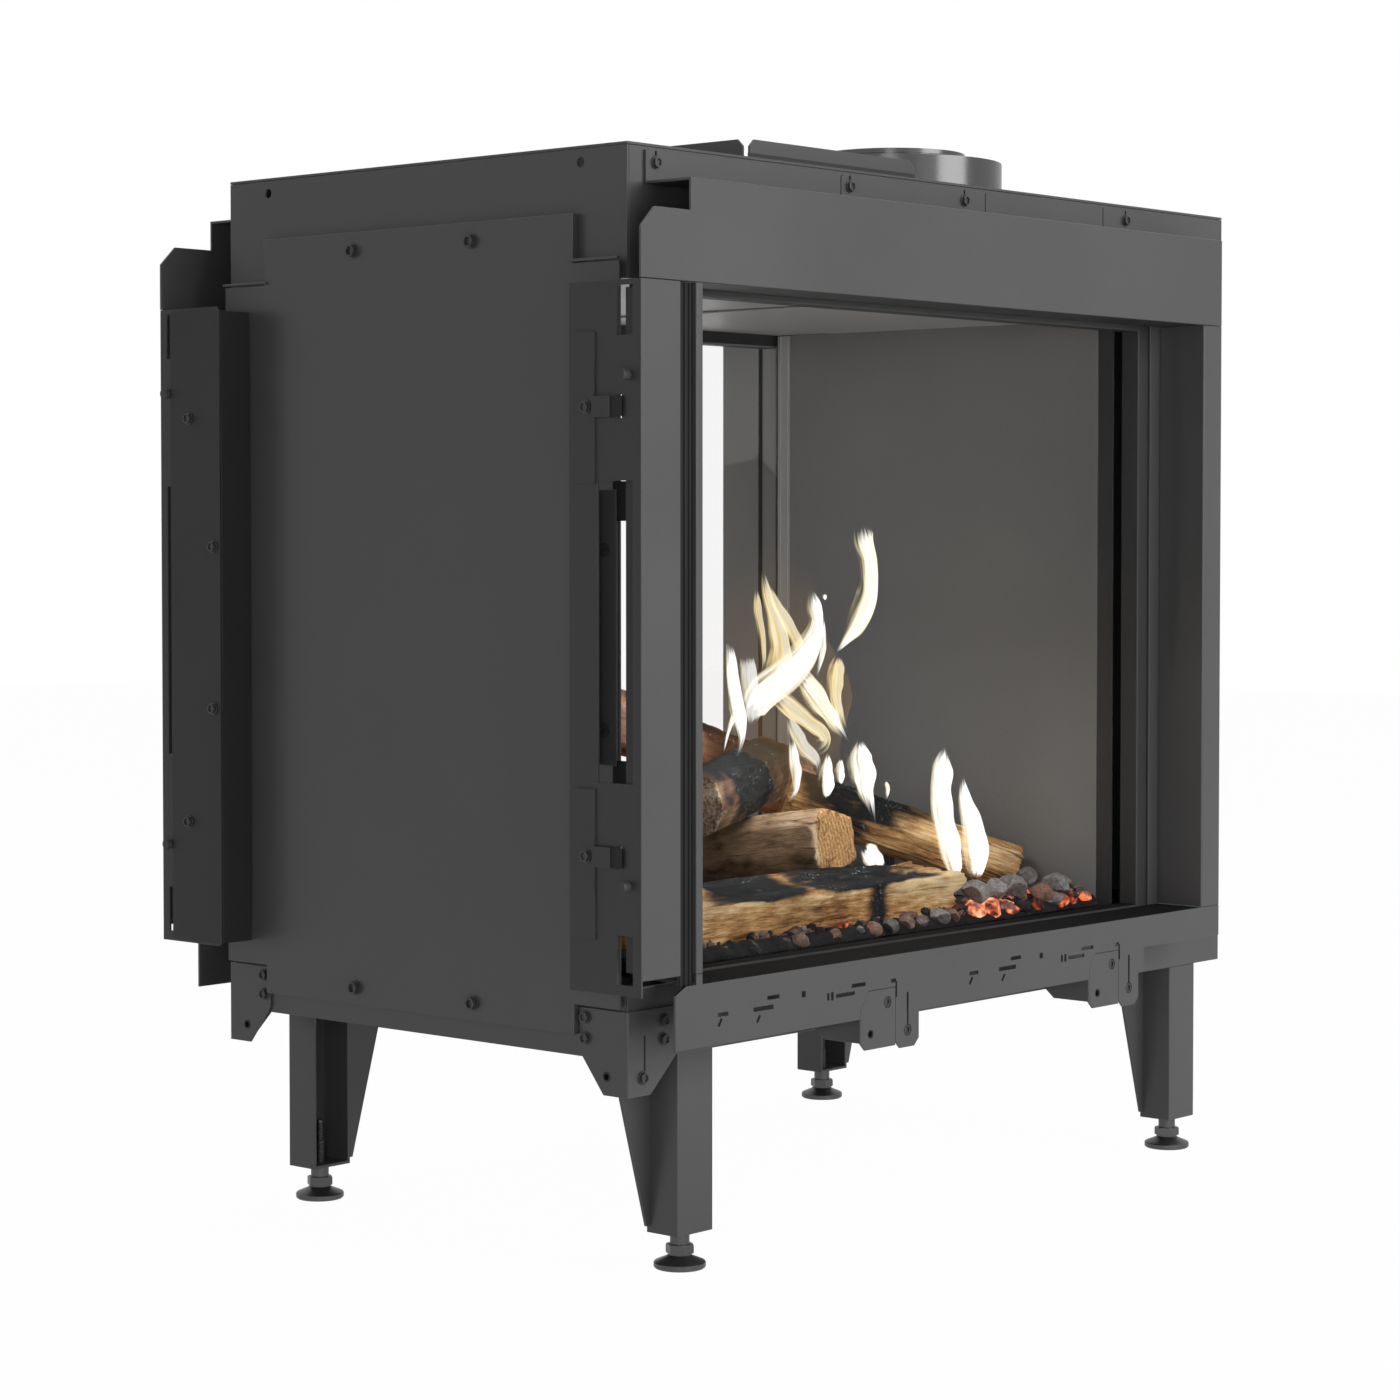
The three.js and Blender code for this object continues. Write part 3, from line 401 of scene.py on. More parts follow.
# Legs: 2.5 mm sheet folded to an open channel with a tapered wing on one edge, closed above and
# below by a welded plate, coated like the base and screwed up to it.
leg_bend = 0.0018
corners = [f"{end}_{side}" for end in ("front", "back") for side in ("left", "right")]
for corner in corners:
    folded_sheet(corner + "_leg", graphite, bend=leg_bend)

# Levelling feet: a round steel pad with a ball seat, a hexagon nut and a threaded stud that
# screws up through the leg's bottom plate. Blackened zinc plate.
zinc = coated("blackened_zinc", (0.12, 0.12, 0.12), (0.3, 0.4), grain=700.0, metallic=0.75)


def levelling_foot(node):
    """Half a section, spun round its axis, with the nut's flats pressed in afterwards."""
    nut_low, nut_high, nut_round, nut_flat = 0.0111, 0.0183, 0.0099, 0.0095
    stud_top, crest_low, crest_high, thread_depth, pitch = 0.048, 0.0045, 0.0035, 0.0006, 0.00125
    low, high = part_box(node)
    middle = (low + high) / 2
    outline = [(0.0, 0.0), (0.0188, 0.0), (0.02, 0.0012), (0.02, 0.0042), (0.0192, 0.0052), (0.0105, 0.0088),
               (0.009, 0.0102), (0.009, 0.0112), (0.0104, 0.0112), (0.0108, 0.0118), (0.0108, 0.0172),
               (0.0100, 0.0182), (0.0075, 0.0184), (0.0075, 0.0276)]
    z = 0.0277
    while z < high.z - 0.003:
        crest = crest_low if z < stud_top else crest_high
        outline += [(crest - thread_depth, z), (crest, z + pitch * 0.35), (crest, z + pitch * 0.55),
                    (crest - thread_depth, z + pitch * 0.9)]
        z += pitch
    outline += [(0.0028, high.z - 0.001), (0.0022, high.z), (0.0, high.z)]
    foot = fresh(bpy.ops.mesh.primitive_circle_add, vertices=3, radius=0.001)
    foot.data.clear_geometry()
    foot.data.from_pydata([(r, 0, h) for r, h in outline], [(i, i + 1) for i in range(len(outline) - 1)], [])
    only(foot)
    bpy.ops.object.mode_set(mode="EDIT")
    bpy.ops.mesh.select_all(action="SELECT")
    bpy.ops.mesh.spin(steps=36, angle=2 * math.pi, center=(0, 0, 0), axis=(0, 0, 1))
    bpy.ops.mesh.select_all(action="SELECT")
    bpy.ops.mesh.remove_doubles(threshold=0.00001)
    bpy.ops.mesh.normals_make_consistent(inside=False)
    bpy.ops.object.mode_set(mode="OBJECT")
    for vertex in foot.data.vertices:
        if nut_low < vertex.co.z < nut_high and vertex.co.xy.length > nut_round:
            angle = math.atan2(vertex.co.y, vertex.co.x) % (math.pi / 3) - math.pi / 6
            reach = min(nut_flat / math.cos(angle), vertex.co.xy.length + 0.0004)
            vertex.co.xy = vertex.co.xy.normalized() * reach
    foot.data.transform(Matrix.Translation((middle.x, middle.y, 0)))
    foot.name = node + "_turned"
    dress(foot, zinc, node, node, 30)


for corner in corners:
    levelling_foot(corner + "_foot")

# Firebox: deck, two side walls and a ceiling with the flue outlet, 2 mm sheet under smooth stove
# enamel, the right wall with folded returns at the windows. The walls stand on the deck. The ceiling
# and the flue baffle are in a lighter copy of the enamel: painted light.
enamel = coated("grey_stove_enamel", (0.29, 0.286, 0.281), (0.34, 0.42), grain=1400.0, depth=0.00003)
# Painted light: a lighter copy of the stove enamel for the ceiling, the flue baffle and faces at the back
# window, so that they look lit.
painted_light_enamel = coated("stove_enamel_painted_light", (0.62, 0.615, 0.61), (0.3, 0.38), grain=1400.0, depth=0.00003)
for node, finish in (("firebox_left_wall", enamel), ("firebox_right_wall", enamel),
                     ("firebox_ceiling", painted_light_enamel), ("firebox_deck", flat_black_and_shade)):
    folded_sheet(node, finish)


def small_plate(name, place, size, finish, edge=0.0004, rounds=3):
    """A small folded or punched plate with broken edges."""
    plate = placed(bpy.ops.mesh.primitive_cube_add, size=1, location=place, scale=size)
    plate.name = name
    apply_modifier(plate, "BEVEL", width=edge, segments=rounds)
    return dress(plate, finish)


return_x, return_middle, return_height = 0.2856, 0.4862, 0.522
# Painted light and shade: the three returns at the back window in the lighter enamel, the one at the front
# window in the darker graphite.
returns = ((0.1865, 0.0158, 0.0016, painted_light_enamel), (0.1815, 0.0012, 0.0034, painted_light_enamel),
           (0.1905, 0.0012, 0.0034, painted_light_enamel), (-0.1865, 0.0158, 0.0016, painted_shade_coat))
for y, width, thickness, finish in returns:
    small_plate("right_wall_return", (return_x, y, return_middle), (thickness, width, return_height), finish,
                rounds=2)
small_plate("flue_baffle", (0.12, 0, 0.7468), (0.30, 0.23, 0.0016), painted_light_enamel, 0.0006, 2)

# Burner, pilot and gas pipe: bent and welded steel tube, mostly hidden under the embers.
for node in ("burner", "pilot", "gas_pipe"):
    dress(bare_copy(node, node + "_tube"), zinc, node, angle=40)

# Ember bed: a moulded ceramic mat under loose pieces of lava, ash and glowing fibre, in sizes from
# 7 to 36 mm, heaped along the front edge and at the right end.


def mask(tree, name, output="Fac"):
    return add_node(tree, "Attribute", attribute_name=name).outputs[output]


def ramp_of(tree, value, stops):
    """The colour that a value takes from a ramp. stops: (position, red green blue)."""
    node = add_node(tree, "ValToRGB", {"Fac": value})
    elements = node.color_ramp.elements
    for element, (position, colour) in zip(elements, (stops[0], stops[-1])):
        element.position, element.color = position, (*colour, 1)
    for position, colour in stops[1:-1]:
        elements.new(position).color = (*colour, 1)
    return node.outputs["Color"]


def ember_finish():
    finish, tree, shader = new_finish("embers_and_ash")
    place = add_node(tree, "TexCoord").outputs["Object"]
    pits = noise_at(tree, place, 260.0, 4.0, 0.65)
    veins = noise_at(tree, place, 90.0, 3.0, 0.6)
    stones = ramp_of(tree, mask(tree, "tone"), [
        (0.0, (0.012, 0.012, 0.013)), (0.3, (0.045, 0.044, 0.046)), (0.5, (0.16, 0.15, 0.15)),
        (0.68, (0.27, 0.16, 0.12)), (0.82, (0.30, 0.29, 0.28)), (1.0, (0.42, 0.40, 0.38))])
    hot = maths(tree, "MULTIPLY", spread(tree, veins, 0.38, 0.62), mask(tree, "warmth"))
    fire = ramp_of(tree, hot, [(0.05, (0, 0, 0)), (0.3, (0.35, 0.035, 0.012)), (0.6, (0.9, 0.2, 0.06)),
                               (0.95, (1.0, 0.62, 0.36))])
    feed(tree, shader, {"Base Color": scaled(tree, stones, spread(tree, pits, 0.3, 0.7, 0.45, 1.5)),
                        "Roughness": 0.9, "Specular IOR Level": 0.25,
                        "Normal": bumped(tree, pits, 0.9, 0.0012), "Emission Color": fire,
                        "Emission Strength": 1.0})
    return finish


def paint_mask(piece, name, value_of):
    layer = piece.data.attributes.new(name, "FLOAT", "POINT")
    layer.data.foreach_set("value", [value_of(vertex) for vertex in piece.data.vertices])


def cloud_texture(name, size, depth):
    texture = bpy.data.textures.new(name, "CLOUDS")
    texture.noise_scale = size
    texture.noise_depth = depth
    return texture


embers = ember_finish()
bed = bare_copy("ember_bed", "ember_mat")
apply_modifier(bed, "REMESH", mode="VOXEL", voxel_size=0.004)
apply_modifier(bed, "DISPLACE", texture=cloud_texture("lumps", 0.012, 2), texture_coords="LOCAL",
               strength=0.005, mid_level=0.6)
paint_mask(bed, "tone", lambda v: 0.03 + 0.1 * noise.noise(v.co * 60))
paint_mask(bed, "warmth", lambda v: 0.0)
dress(bed, embers, "ember_bed", angle=60)

coal_dice = random.Random(62)


def coal_shapes(detail, count):
    """Spheres, flattened by chance and with seven faces struck off, as broken lava has."""
    shapes = []
    for i in range(count):
        lump = fresh(bpy.ops.mesh.primitive_ico_sphere_add, subdivisions=detail, radius=0.5)
        bpy.ops.object.mode_set(mode="EDIT")
        bpy.ops.mesh.select_all(action="SELECT")
        bpy.ops.transform.resize(value=(1.0, coal_dice.uniform(0.6, 0.85), coal_dice.uniform(0.5, 0.75)))
        for cut in range(7):
            normal = Vector([coal_dice.uniform(-1, 1) for axis in range(3)]).normalized()
            bpy.ops.mesh.select_all(action="SELECT")
            bpy.ops.mesh.bisect(plane_co=normal * coal_dice.uniform(0.2, 0.33), plane_no=normal,
                                use_fill=True, clear_outer=True)
        bpy.ops.object.mode_set(mode="OBJECT")
        apply_modifier(lump, "BEVEL", limit_method="ANGLE", angle_limit=math.radians(50), width=0.02,
                       segments=1)
        shapes.append(lump.data.copy())
        bpy.data.objects.remove(lump)
    return shapes


small_coals = coal_shapes(1, 5)
large_coals = coal_shapes(2, 3)


def heap_of_coals(name, wanted):
    """wanted: shapes to choose from, place, size, tone of the stone, warmth of its glow."""
    heap = bmesh.new()
    paint = []
    for shapes, place, size, shade, warm in wanted:
        start = len(heap.verts)
        turn = Matrix.Rotation(coal_dice.uniform(0, 6.28), 4, "Z")
        tilt = Matrix.Rotation(coal_dice.uniform(-0.5, 0.5), 4, "X")
        lump = coal_dice.choice(shapes).copy()
        lump.transform(Matrix.Translation(Vector(place)) @ (turn @ tilt) @ Matrix.Scale(size, 4))
        heap.from_mesh(lump)
        bpy.data.meshes.remove(lump)
        paint += [(shade, warm)] * (len(heap.verts) - start)
    mesh = bpy.data.meshes.new(name)
    heap.to_mesh(mesh)
    heap.free()
    piece = bpy.data.objects.new(name, mesh)
    scene.collection.objects.link(piece)
    paint_mask(piece, "tone", lambda v: paint[v.index][0])
    paint_mask(piece, "warmth", lambda v: paint[v.index][1])
    dress(piece, embers, angle=35)


bed_low, bed_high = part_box("ember_bed")
coals_in_row, coals_scattered, warm_glow = 120, 260, 0.8
row_of_coals = []
for i in range(coals_in_row):
    share_along = i / coals_in_row
    x = bed_low.x + 0.006 + (bed_high.x - bed_low.x - 0.012) * share_along + coal_dice.uniform(-0.003, 0.003)
    size = coal_dice.uniform(0.007, 0.011) + 0.015 * share_along * coal_dice.random()
    y = bed_low.y + 0.007 + coal_dice.uniform(0, 0.016)
    z = bed_low.z + size * 0.35 + (y - bed_low.y) * 0.6
    warm = warm_glow if share_along > 0.4 and coal_dice.random() < 0.1 else 0.0
    row_of_coals.append((small_coals, (x, y, z), size,
                         coal_dice.choice((0.1, 0.3, 0.45, 0.6, 0.68, 0.8)), warm))
heap_of_coals("front_row_of_embers", row_of_coals)

scatter = []
for i in range(coals_scattered):
    x = coal_dice.uniform(bed_low.x + 0.01, bed_high.x - 0.01)
    y = coal_dice.uniform(bed_low.y + 0.03, bed_high.y - 0.012)
    size = coal_dice.uniform(0.01, 0.02)
    warm = warm_glow if coal_dice.random() < 0.12 else 0.0
    scatter.append((small_coals, (x, y, bed_high.z + size * 0.12), size,
                    coal_dice.choice((0.05, 0.2, 0.3, 0.5, 0.68, 0.85)), warm))
heap_of_coals("scattered_embers", scatter)

# Large embers, most at the right end: x, y, z and size in mm, tone, warmth.
large_embers = (
    (110, -174, 250.5, 36, 0.84, 0.0), (140, -172, 251, 33.6, 0.88, 0.0), (166, -170, 250.5, 36, 0.80, 0.0),
    (192, -168, 257, 31.2, 0.52, 0.0), (200, -178, 243, 31.2, 0.68, 0.1), (229, -174, 248, 36, 0.82, 0.0),
    (250, -162, 246, 28.8, 0.78, 0.0), (94, -183, 238, 28.8, 0.60, 1.0), (118, -185, 237.5, 31.2, 0.66, 1.0),
    (141, -185, 236, 24, 0.60, 0.95), (161, -186, 235, 21.6, 0.20, 0.0), (180, -187, 236, 21.6, 0.10, 0.35),
    (215, -187, 236, 21.6, 0.20, 0.8), (236, -186, 236, 21.6, 0.30, 0.75), (256, -186, 236, 20.4, 0.60, 0.6),
    (83, -162, 253, 21.6, 0.66, 0.95), (76, -181, 237, 24, 0.15, 0.1), (60, -185, 235, 21.6, 0.66, 0.0),
    (42, -186, 236, 24, 0.80, 0.0), (20, -186, 234, 20.4, 0.55, 0.0), (-2, -186, 234, 21.6, 0.70, 0.0),
    (-24, -186, 234, 22.8, 0.50, 0.0), (-47, -186, 234, 21.6, 0.70, 0.2), (-95, -186, 233, 20.4, 0.68, 0.0),
    (-140, -186, 233, 21.6, 0.62, 0.0), (-200, -186, 233, 21.6, 0.35, 0.0),
)
heap_of_coals("large_embers", [(large_coals, (x / 1000, y / 1000, z / 1000), size / 1000, shade, warm)
                               for x, y, z, size, shade, warm in large_embers])

# Logs: moulded and painted as split and round logs, partly charred. Each keeps the place and the
# cut-outs of its solid, roughened along its grain, with the ends left flat as if sawn.
log_lumps = cloud_texture("log_lumps", 0.028, 1)
log_fibres = cloud_texture("log_fibres", 0.0045, 2)
lump_stretch = 0.2


def seen(red, green, blue):
    """The linear value of a colour picked on a screen scale of 0 to 255."""
    return tuple(((level / 255 + 0.055) / 1.055) ** 2.4 for level in (red, green, blue))


def log_turn(start, end):
    along = (end - start).normalized()
    across = Vector((0, 0, 1)).cross(along).normalized()
    turn = Matrix((along, across, along.cross(across))).transposed().to_4x4()
    turn.translation = start
    return turn


def held(value):
    return max(0.0, min(1.0, value))


def carve_log(node, start, end, finish, char, bark, lump=0.008, fibre=0.0022, rim=None, smooth=3):
    """char: (share along, half width, up weight) spots. bark: the direction that the bark faces, or None.
    rim: how far across the pale edge of the sawn end starts."""
    start, end = Vector(start), Vector(end)
    turn = log_turn(start, end)
    length = (end - start).length
    piece = bare_copy(node, node + "_carved")
    apply_modifier(piece, "REMESH", mode="VOXEL", voxel_size=0.0026)
    apply_modifier(piece, "SMOOTH", factor=0.5, iterations=smooth)
    piece.data.transform(turn.inverted())
    grain = piece.data.attributes.new("grain", "FLOAT_VECTOR", "POINT")
    grain.data.foreach_set("vector", [part for vertex in piece.data.vertices for part in vertex.co])
    ends = [1.0 if abs(v.normal.x) > 0.75 and (v.co.x < 0.004 or v.co.x > length - 0.004) else 0.0
            for v in piece.data.vertices]
    sides = piece.vertex_groups.new(name="sides")
    sides.add([i for i, value in enumerate(ends) if value < 0.5], 1.0, "REPLACE")
    squeeze = Matrix.Scale(lump_stretch, 4, Vector((1, 0, 0)))
    piece.data.transform(squeeze)
    for texture, strength, middle in ((log_lumps, lump, 0.55), (log_fibres, fibre, 0.5)):
        apply_modifier(piece, "DISPLACE", texture=texture, texture_coords="LOCAL", strength=strength,
                       mid_level=middle, vertex_group="sides")
    piece.data.transform(squeeze.inverted())

    def charred(vertex):
        value = 0.0
        for centre, half_width, up in char:
            near = 1 - abs(vertex.co.x / length - centre) / half_width
            value = max(value, near + up * (vertex.normal.z - 0.55))
        return held(value + 0.35 * noise.noise(vertex.co * 45))

    paint_mask(piece, "char", charred)
    paint_mask(piece, "bark", lambda v: held(0.5 + 3.0 * v.normal.dot(Vector(bark))) if bark else 0.0)
    paint_mask(piece, "sawn", lambda v: ends[v.index])
    paint_mask(piece, "rim", lambda v: 1.0 if rim and v.co.y > rim else 0.0)
    piece.data.transform(turn)
    dress(piece, finish, node, angle=60)


def blend_colours(tree, factor, first, second):
    return add_node(tree, "Mix", {0: factor, 6: first, 7: second}, data_type="RGBA").outputs[2]


def edge_distance(tree, place, scale):
    node = add_node(tree, "TexVoronoi", {"Vector": place, "Scale": scale}, feature="DISTANCE_TO_EDGE")
    return node.outputs["Distance"]


def log_finish(name, wood, bark, sawn, ring_pitch=0.0045, heart=(0, 0.02, 0.01), ember_glow=0.0):
    """wood, bark, sawn: colour stops of the split sides, the bark and the sawn ends. heart: what is
    added to a place in the log so that its growth rings run round the axis."""
    finish, tree, shader = new_finish(name)
    grain = mask(tree, "grain", "Vector")
    drawn, loose = [add_node(tree, "Mapping", {"Vector": grain, "Scale": (along, 1, 1)}).outputs[0]
                    for along in (0.12, 0.45)]
    streaks = noise_at(tree, drawn, 380.0, 6.0, 0.7)
    wide = noise_at(tree, drawn, 28.0, 3.0, 0.6)
    patches = noise_at(tree, loose, 60.0, 5.0, 0.65)
    specks = noise_at(tree, grain, 420.0, 3.0, 0.7)
    figure = maths(tree, "MULTIPLY", maths(tree, "ADD", streaks, wide), 0.5)

    off_centre = add_node(tree, "VectorMath", {0: grain, 1: heart}, operation="ADD")
    flat = add_node(tree, "VectorMath", {0: off_centre.outputs[0], 1: (0, 1, 1)}, operation="MULTIPLY")
    radius = add_node(tree, "VectorMath", {0: flat.outputs[0]}, operation="LENGTH")
    wobble = maths(tree, "MULTIPLY_ADD", patches, 0.006, radius.outputs["Value"])
    rings = maths(tree, "SINE", maths(tree, "MULTIPLY", wobble, 2 * math.pi / ring_pitch))
    ringed = spread(tree, rings, -1.0, 1.0, 0.44, 0.56)
    end_tone = maths(tree, "MULTIPLY", ringed, maths(tree, "MULTIPLY", specks, 2.0))

    sides = blend_colours(tree, mask(tree, "bark"), ramp_of(tree, figure, wood),
                          ramp_of(tree, patches, bark))
    pale_rim = ramp_of(tree, specks, [(0.3, seen(205, 172, 128)), (0.7, seen(250, 228, 190))])
    rimmed = blend_colours(tree, mask(tree, "rim"), ramp_of(tree, end_tone, sawn), pale_rim)
    ended = blend_colours(tree, mask(tree, "sawn"), sides, rimmed)

    reach = maths(tree, "ADD", maths(tree, "MULTIPLY_ADD", patches, 0.7, -0.35), mask(tree, "char"))
    scorch_brown = ramp_of(tree, streaks, [(0.35, seen(48, 30, 20)), (0.65, seen(120, 80, 52))])
    toasted = blend_colours(tree, spread(tree, reach, 0.0, 0.55, 0.0, 0.85), ended, scorch_brown)
    ash_where = spread(tree, patches, 0.45, 0.62)
    split_lines = spread(tree, edge_distance(tree, drawn, 42.0), 0.0, 0.035, 1.0, 0.0)
    dark_line = ramp_of(tree, specks, [(0.3, seen(44, 28, 18)), (0.7, seen(96, 62, 38))])
    cracked = blend_colours(tree, maths(tree, "MULTIPLY", split_lines, ash_where), toasted, dark_line)
    ash = maths(tree, "MULTIPLY", spread(tree, specks, 0.5, 0.68), ash_where)
    char = ramp_of(tree, ash, [(0.0, (0.009, 0.010, 0.010)), (0.35, (0.026, 0.028, 0.028)),
                               (0.7, (0.12, 0.13, 0.125)), (1.0, (0.75, 0.8, 0.78))])
    burnt = blend_colours(tree, spread(tree, reach, 0.25, 0.6), cracked, char)

    scaly = maths(tree, "MULTIPLY_ADD", edge_distance(tree, loose, 130.0), 0.4,
                  maths(tree, "ADD", figure, patches))
    feed(tree, shader, {"Base Color": burnt, "Roughness": 0.85, "Specular IOR Level": 0.2,
                        "Normal": bumped(tree, scaly, 1.0, 0.0016)})
    if ember_glow:
        warm = ramp_of(tree, patches, [(0.45, (0, 0, 0)), (0.7, (0.8, 0.16, 0.04))])
        feed(tree, shader, {"Emission Color": warm, "Emission Strength": ember_glow})
    return finish


pale_wood = [(0.4, seen(104, 64, 34)), (0.46, seen(182, 132, 80)), (0.52, seen(222, 176, 118)),
             (0.6, seen(252, 224, 176))]
grey_bark = [(0.3, seen(86, 68, 50)), (0.43, seen(152, 124, 94)), (0.55, seen(184, 154, 122)),
             (0.72, seen(220, 192, 166))]
brown_bark = [(0.3, seen(70, 52, 42)), (0.5, seen(160, 124, 104)), (0.7, seen(205, 168, 146))]
end_grain = [(0.3, seen(130, 88, 50)), (0.45, seen(190, 142, 90)), (0.58, seen(216, 172, 118)),
             (0.8, seen(245, 210, 160))]
speckled_end = [(0.32, seen(120, 98, 74)), (0.46, seen(210, 182, 148)), (0.56, seen(235, 212, 182)),
                (0.7, seen(252, 242, 226))]
split_wood = log_finish("split_log", pale_wood, grey_bark, end_grain, heart=(0, -0.09, 0.02))
round_brown = log_finish("round_brown_log", brown_bark, brown_bark, end_grain, ember_glow=0.12)
round_char = log_finish("charred_round_log", grey_bark, brown_bark, speckled_end, ring_pitch=0.02)

carve_log("front_log", (-0.3252, -0.1431, 0.2529), (0.0774, -0.1431, 0.2529), split_wood,
          [(0.72, 0.16, 1.5), (0.4, 0.12, 1.2), (0.74, 0.06, 0.2)], None, lump=0.012, fibre=0.003)
carve_log("crossing_log", (-0.0344, -0.1349, 0.3054), (-0.0446, 0.0602, 0.2763), split_wood,
          [(1.0, 0.3, 0.3)], (0, 1, 0), lump=0.003, fibre=0.0012, rim=0.0225, smooth=1)
carve_log("back_log", (-0.309, 0.0951, 0.2612), (0.207, 0.0997, 0.2612), round_brown,
          [(0.75, 0.2, 0.5)], (0, 0, 1))
carve_log("charred_log", (-0.1548, -0.0854, 0.3366), (0.0401, 0, 0.3533), round_char,
          [(0.5, 0.9, 0.3)], (0, 0, 1), lump=0.007, fibre=0.003)
carve_log("right_log", (0.2559, -0.1079, 0.2529), (0.1051, 0.0356, 0.3257), split_wood,
          [(0.75, 0.42, 0.5)], None, lump=0.005, fibre=0.003)
carve_log("rear_upper_log", (-0.1242, 0.0748, 0.4125), (0.1433, 0.0498, 0.3231), round_brown,
          [(0.6, 0.2, 0.5)], (0, 0, 1))

# Flames: burning gas rising through the logs, as thin curved tongues that glow white inside and
# yellow at their edges, and fade out at the tip and where they leave the logs.


def flame_finish():
    finish, tree, shader = new_finish("burning_gas")
    flow = mask(tree, "flow", "Vector")
    wisps = noise_at(tree, flow, 1.0, 3.0, 0.6)
    ragged = maths(tree, "ADD", maths(tree, "MULTIPLY_ADD", wisps, 1.5, -0.75), mask(tree, "veil"))
    edge = spread(tree, ragged, 0.08, 0.75, interpolation_type="SMOOTHSTEP")
    streaked = spread(tree, noise_at(tree, flow, 2.6, 3.0, 0.6), 0.35, 0.6, 0.82, 1.0)
    clear = maths(tree, "MULTIPLY", maths(tree, "MULTIPLY", edge, streaked), mask(tree, "body"))
    warmth = maths(tree, "ADD", maths(tree, "MULTIPLY_ADD", wisps, 0.9, -0.45), mask(tree, "core"))
    colours = ramp_of(tree, warmth, [(0.05, (0.95, 0.45, 0.12)), (0.32, (1.0, 0.70, 0.27)),
                                     (0.58, (1.0, 0.88, 0.55)), (0.82, (1.0, 0.98, 0.93))])
    feed(tree, shader, {"Base Color": (0, 0, 0, 1), "Roughness": 1.0, "Specular IOR Level": 0.0,
                        "Alpha": clear, "Emission Color": colours, "Emission Strength": 1.4})
    return finish


burning_gas = flame_finish()


def smooth_step(value):
    value = held(value)
    return value * value * (3 - 2 * value)


def flame(name, depth, spine, body_colour, strength, tail=0.4, hollow=0.0, streaks=4.5, tip=0.2):
    """depth, and (x, z, width) along the spine from the tip down, in mm. The tongue is a curved strip, 0.6
    as deep as wide. hollow: how much clearer its middle is than its edges. streaks: wisps across half."""
    steps_along, steps_across, bulge_share = 36, 14, 0.6
    piece = fresh(bpy.ops.mesh.primitive_grid_add, size=2, x_subdivisions=steps_across,
                  y_subdivisions=steps_along)
    piece.name = name
    depth = depth / 1000
    points = [Vector((x / 1000, z / 1000, width / 1000)) for x, z, width in spine]
    knots = [points[0]] + points + [points[-1]]

    def along(t):
        """A smooth curve through the spine's points."""
        place = t * (len(points) - 1)
        i = min(int(place), len(points) - 2)
        f = place - i
        a, b, c, d = knots[i:i + 4]
        square, cube = 2 * a - 5 * b + 4 * c - d, 3 * b - a - 3 * c + d
        return 0.5 * ((2 * b) + (c - a) * f + square * f ** 2 + cube * f ** 3)

    shares, flow = [], []
    for vertex in piece.data.vertices:
        across, t = vertex.co.x, (1 - vertex.co.y) / 2
        here = along(t)
        before, after = along(max(0, t - 0.03)), along(min(1, t + 0.03))
        direction = Vector((after.x - before.x, after.y - before.y)).normalized()
        side = Vector((direction.y, -direction.x))
        half = max(0.0005, here.z / 2) * (1.15 + 0.25 * noise.noise(Vector((t * 6, depth * 50, across))))
        bulge = bulge_share * half * (1 - across * across)
        vertex.co = Vector((here.x + side.x * across * half, depth - bulge, here.y + side.y * across * half))
        shares.append((across, t))
        flow += [across * streaks, t * 1.6, depth * 90 + points[0].x * 40]
    edge = [1 - abs(a) ** 1.8 for a, t in shares]
    fade = [smooth_step(t / tip) * smooth_step((1 - t) / tail) for a, t in shares]
    paint_mask(piece, "core", lambda v: body_colour * (0.4 + 0.6 * edge[v.index]))
    paint_mask(piece, "veil", lambda v: edge[v.index] * fade[v.index])
    paint_mask(piece, "body", lambda v: strength * (1 - hollow * edge[v.index] ** 2))
    piece.data.attributes.new("flow", "FLOAT_VECTOR", "POINT").data.foreach_set("vector", flow)
    only(piece)
    bpy.ops.object.shade_smooth()
    piece.data.materials.append(burning_gas)
    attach(piece, "fireplace")


add_lamp("light_of_the_flames", (-0.05, -0.13, 0.47), 0.12, 0.4, (-0.05, -0.1, 0.2))
glow_spine = [(0, 620, 100), (10, 550, 180), (20, 460, 240), (30, 380, 260), (50, 310, 200), (60, 250, 100)]
flame("glow_round_the_flames", 30, glow_spine, 0.2, 0.05, tail=0.5, streaks=0.4, tip=0.6)

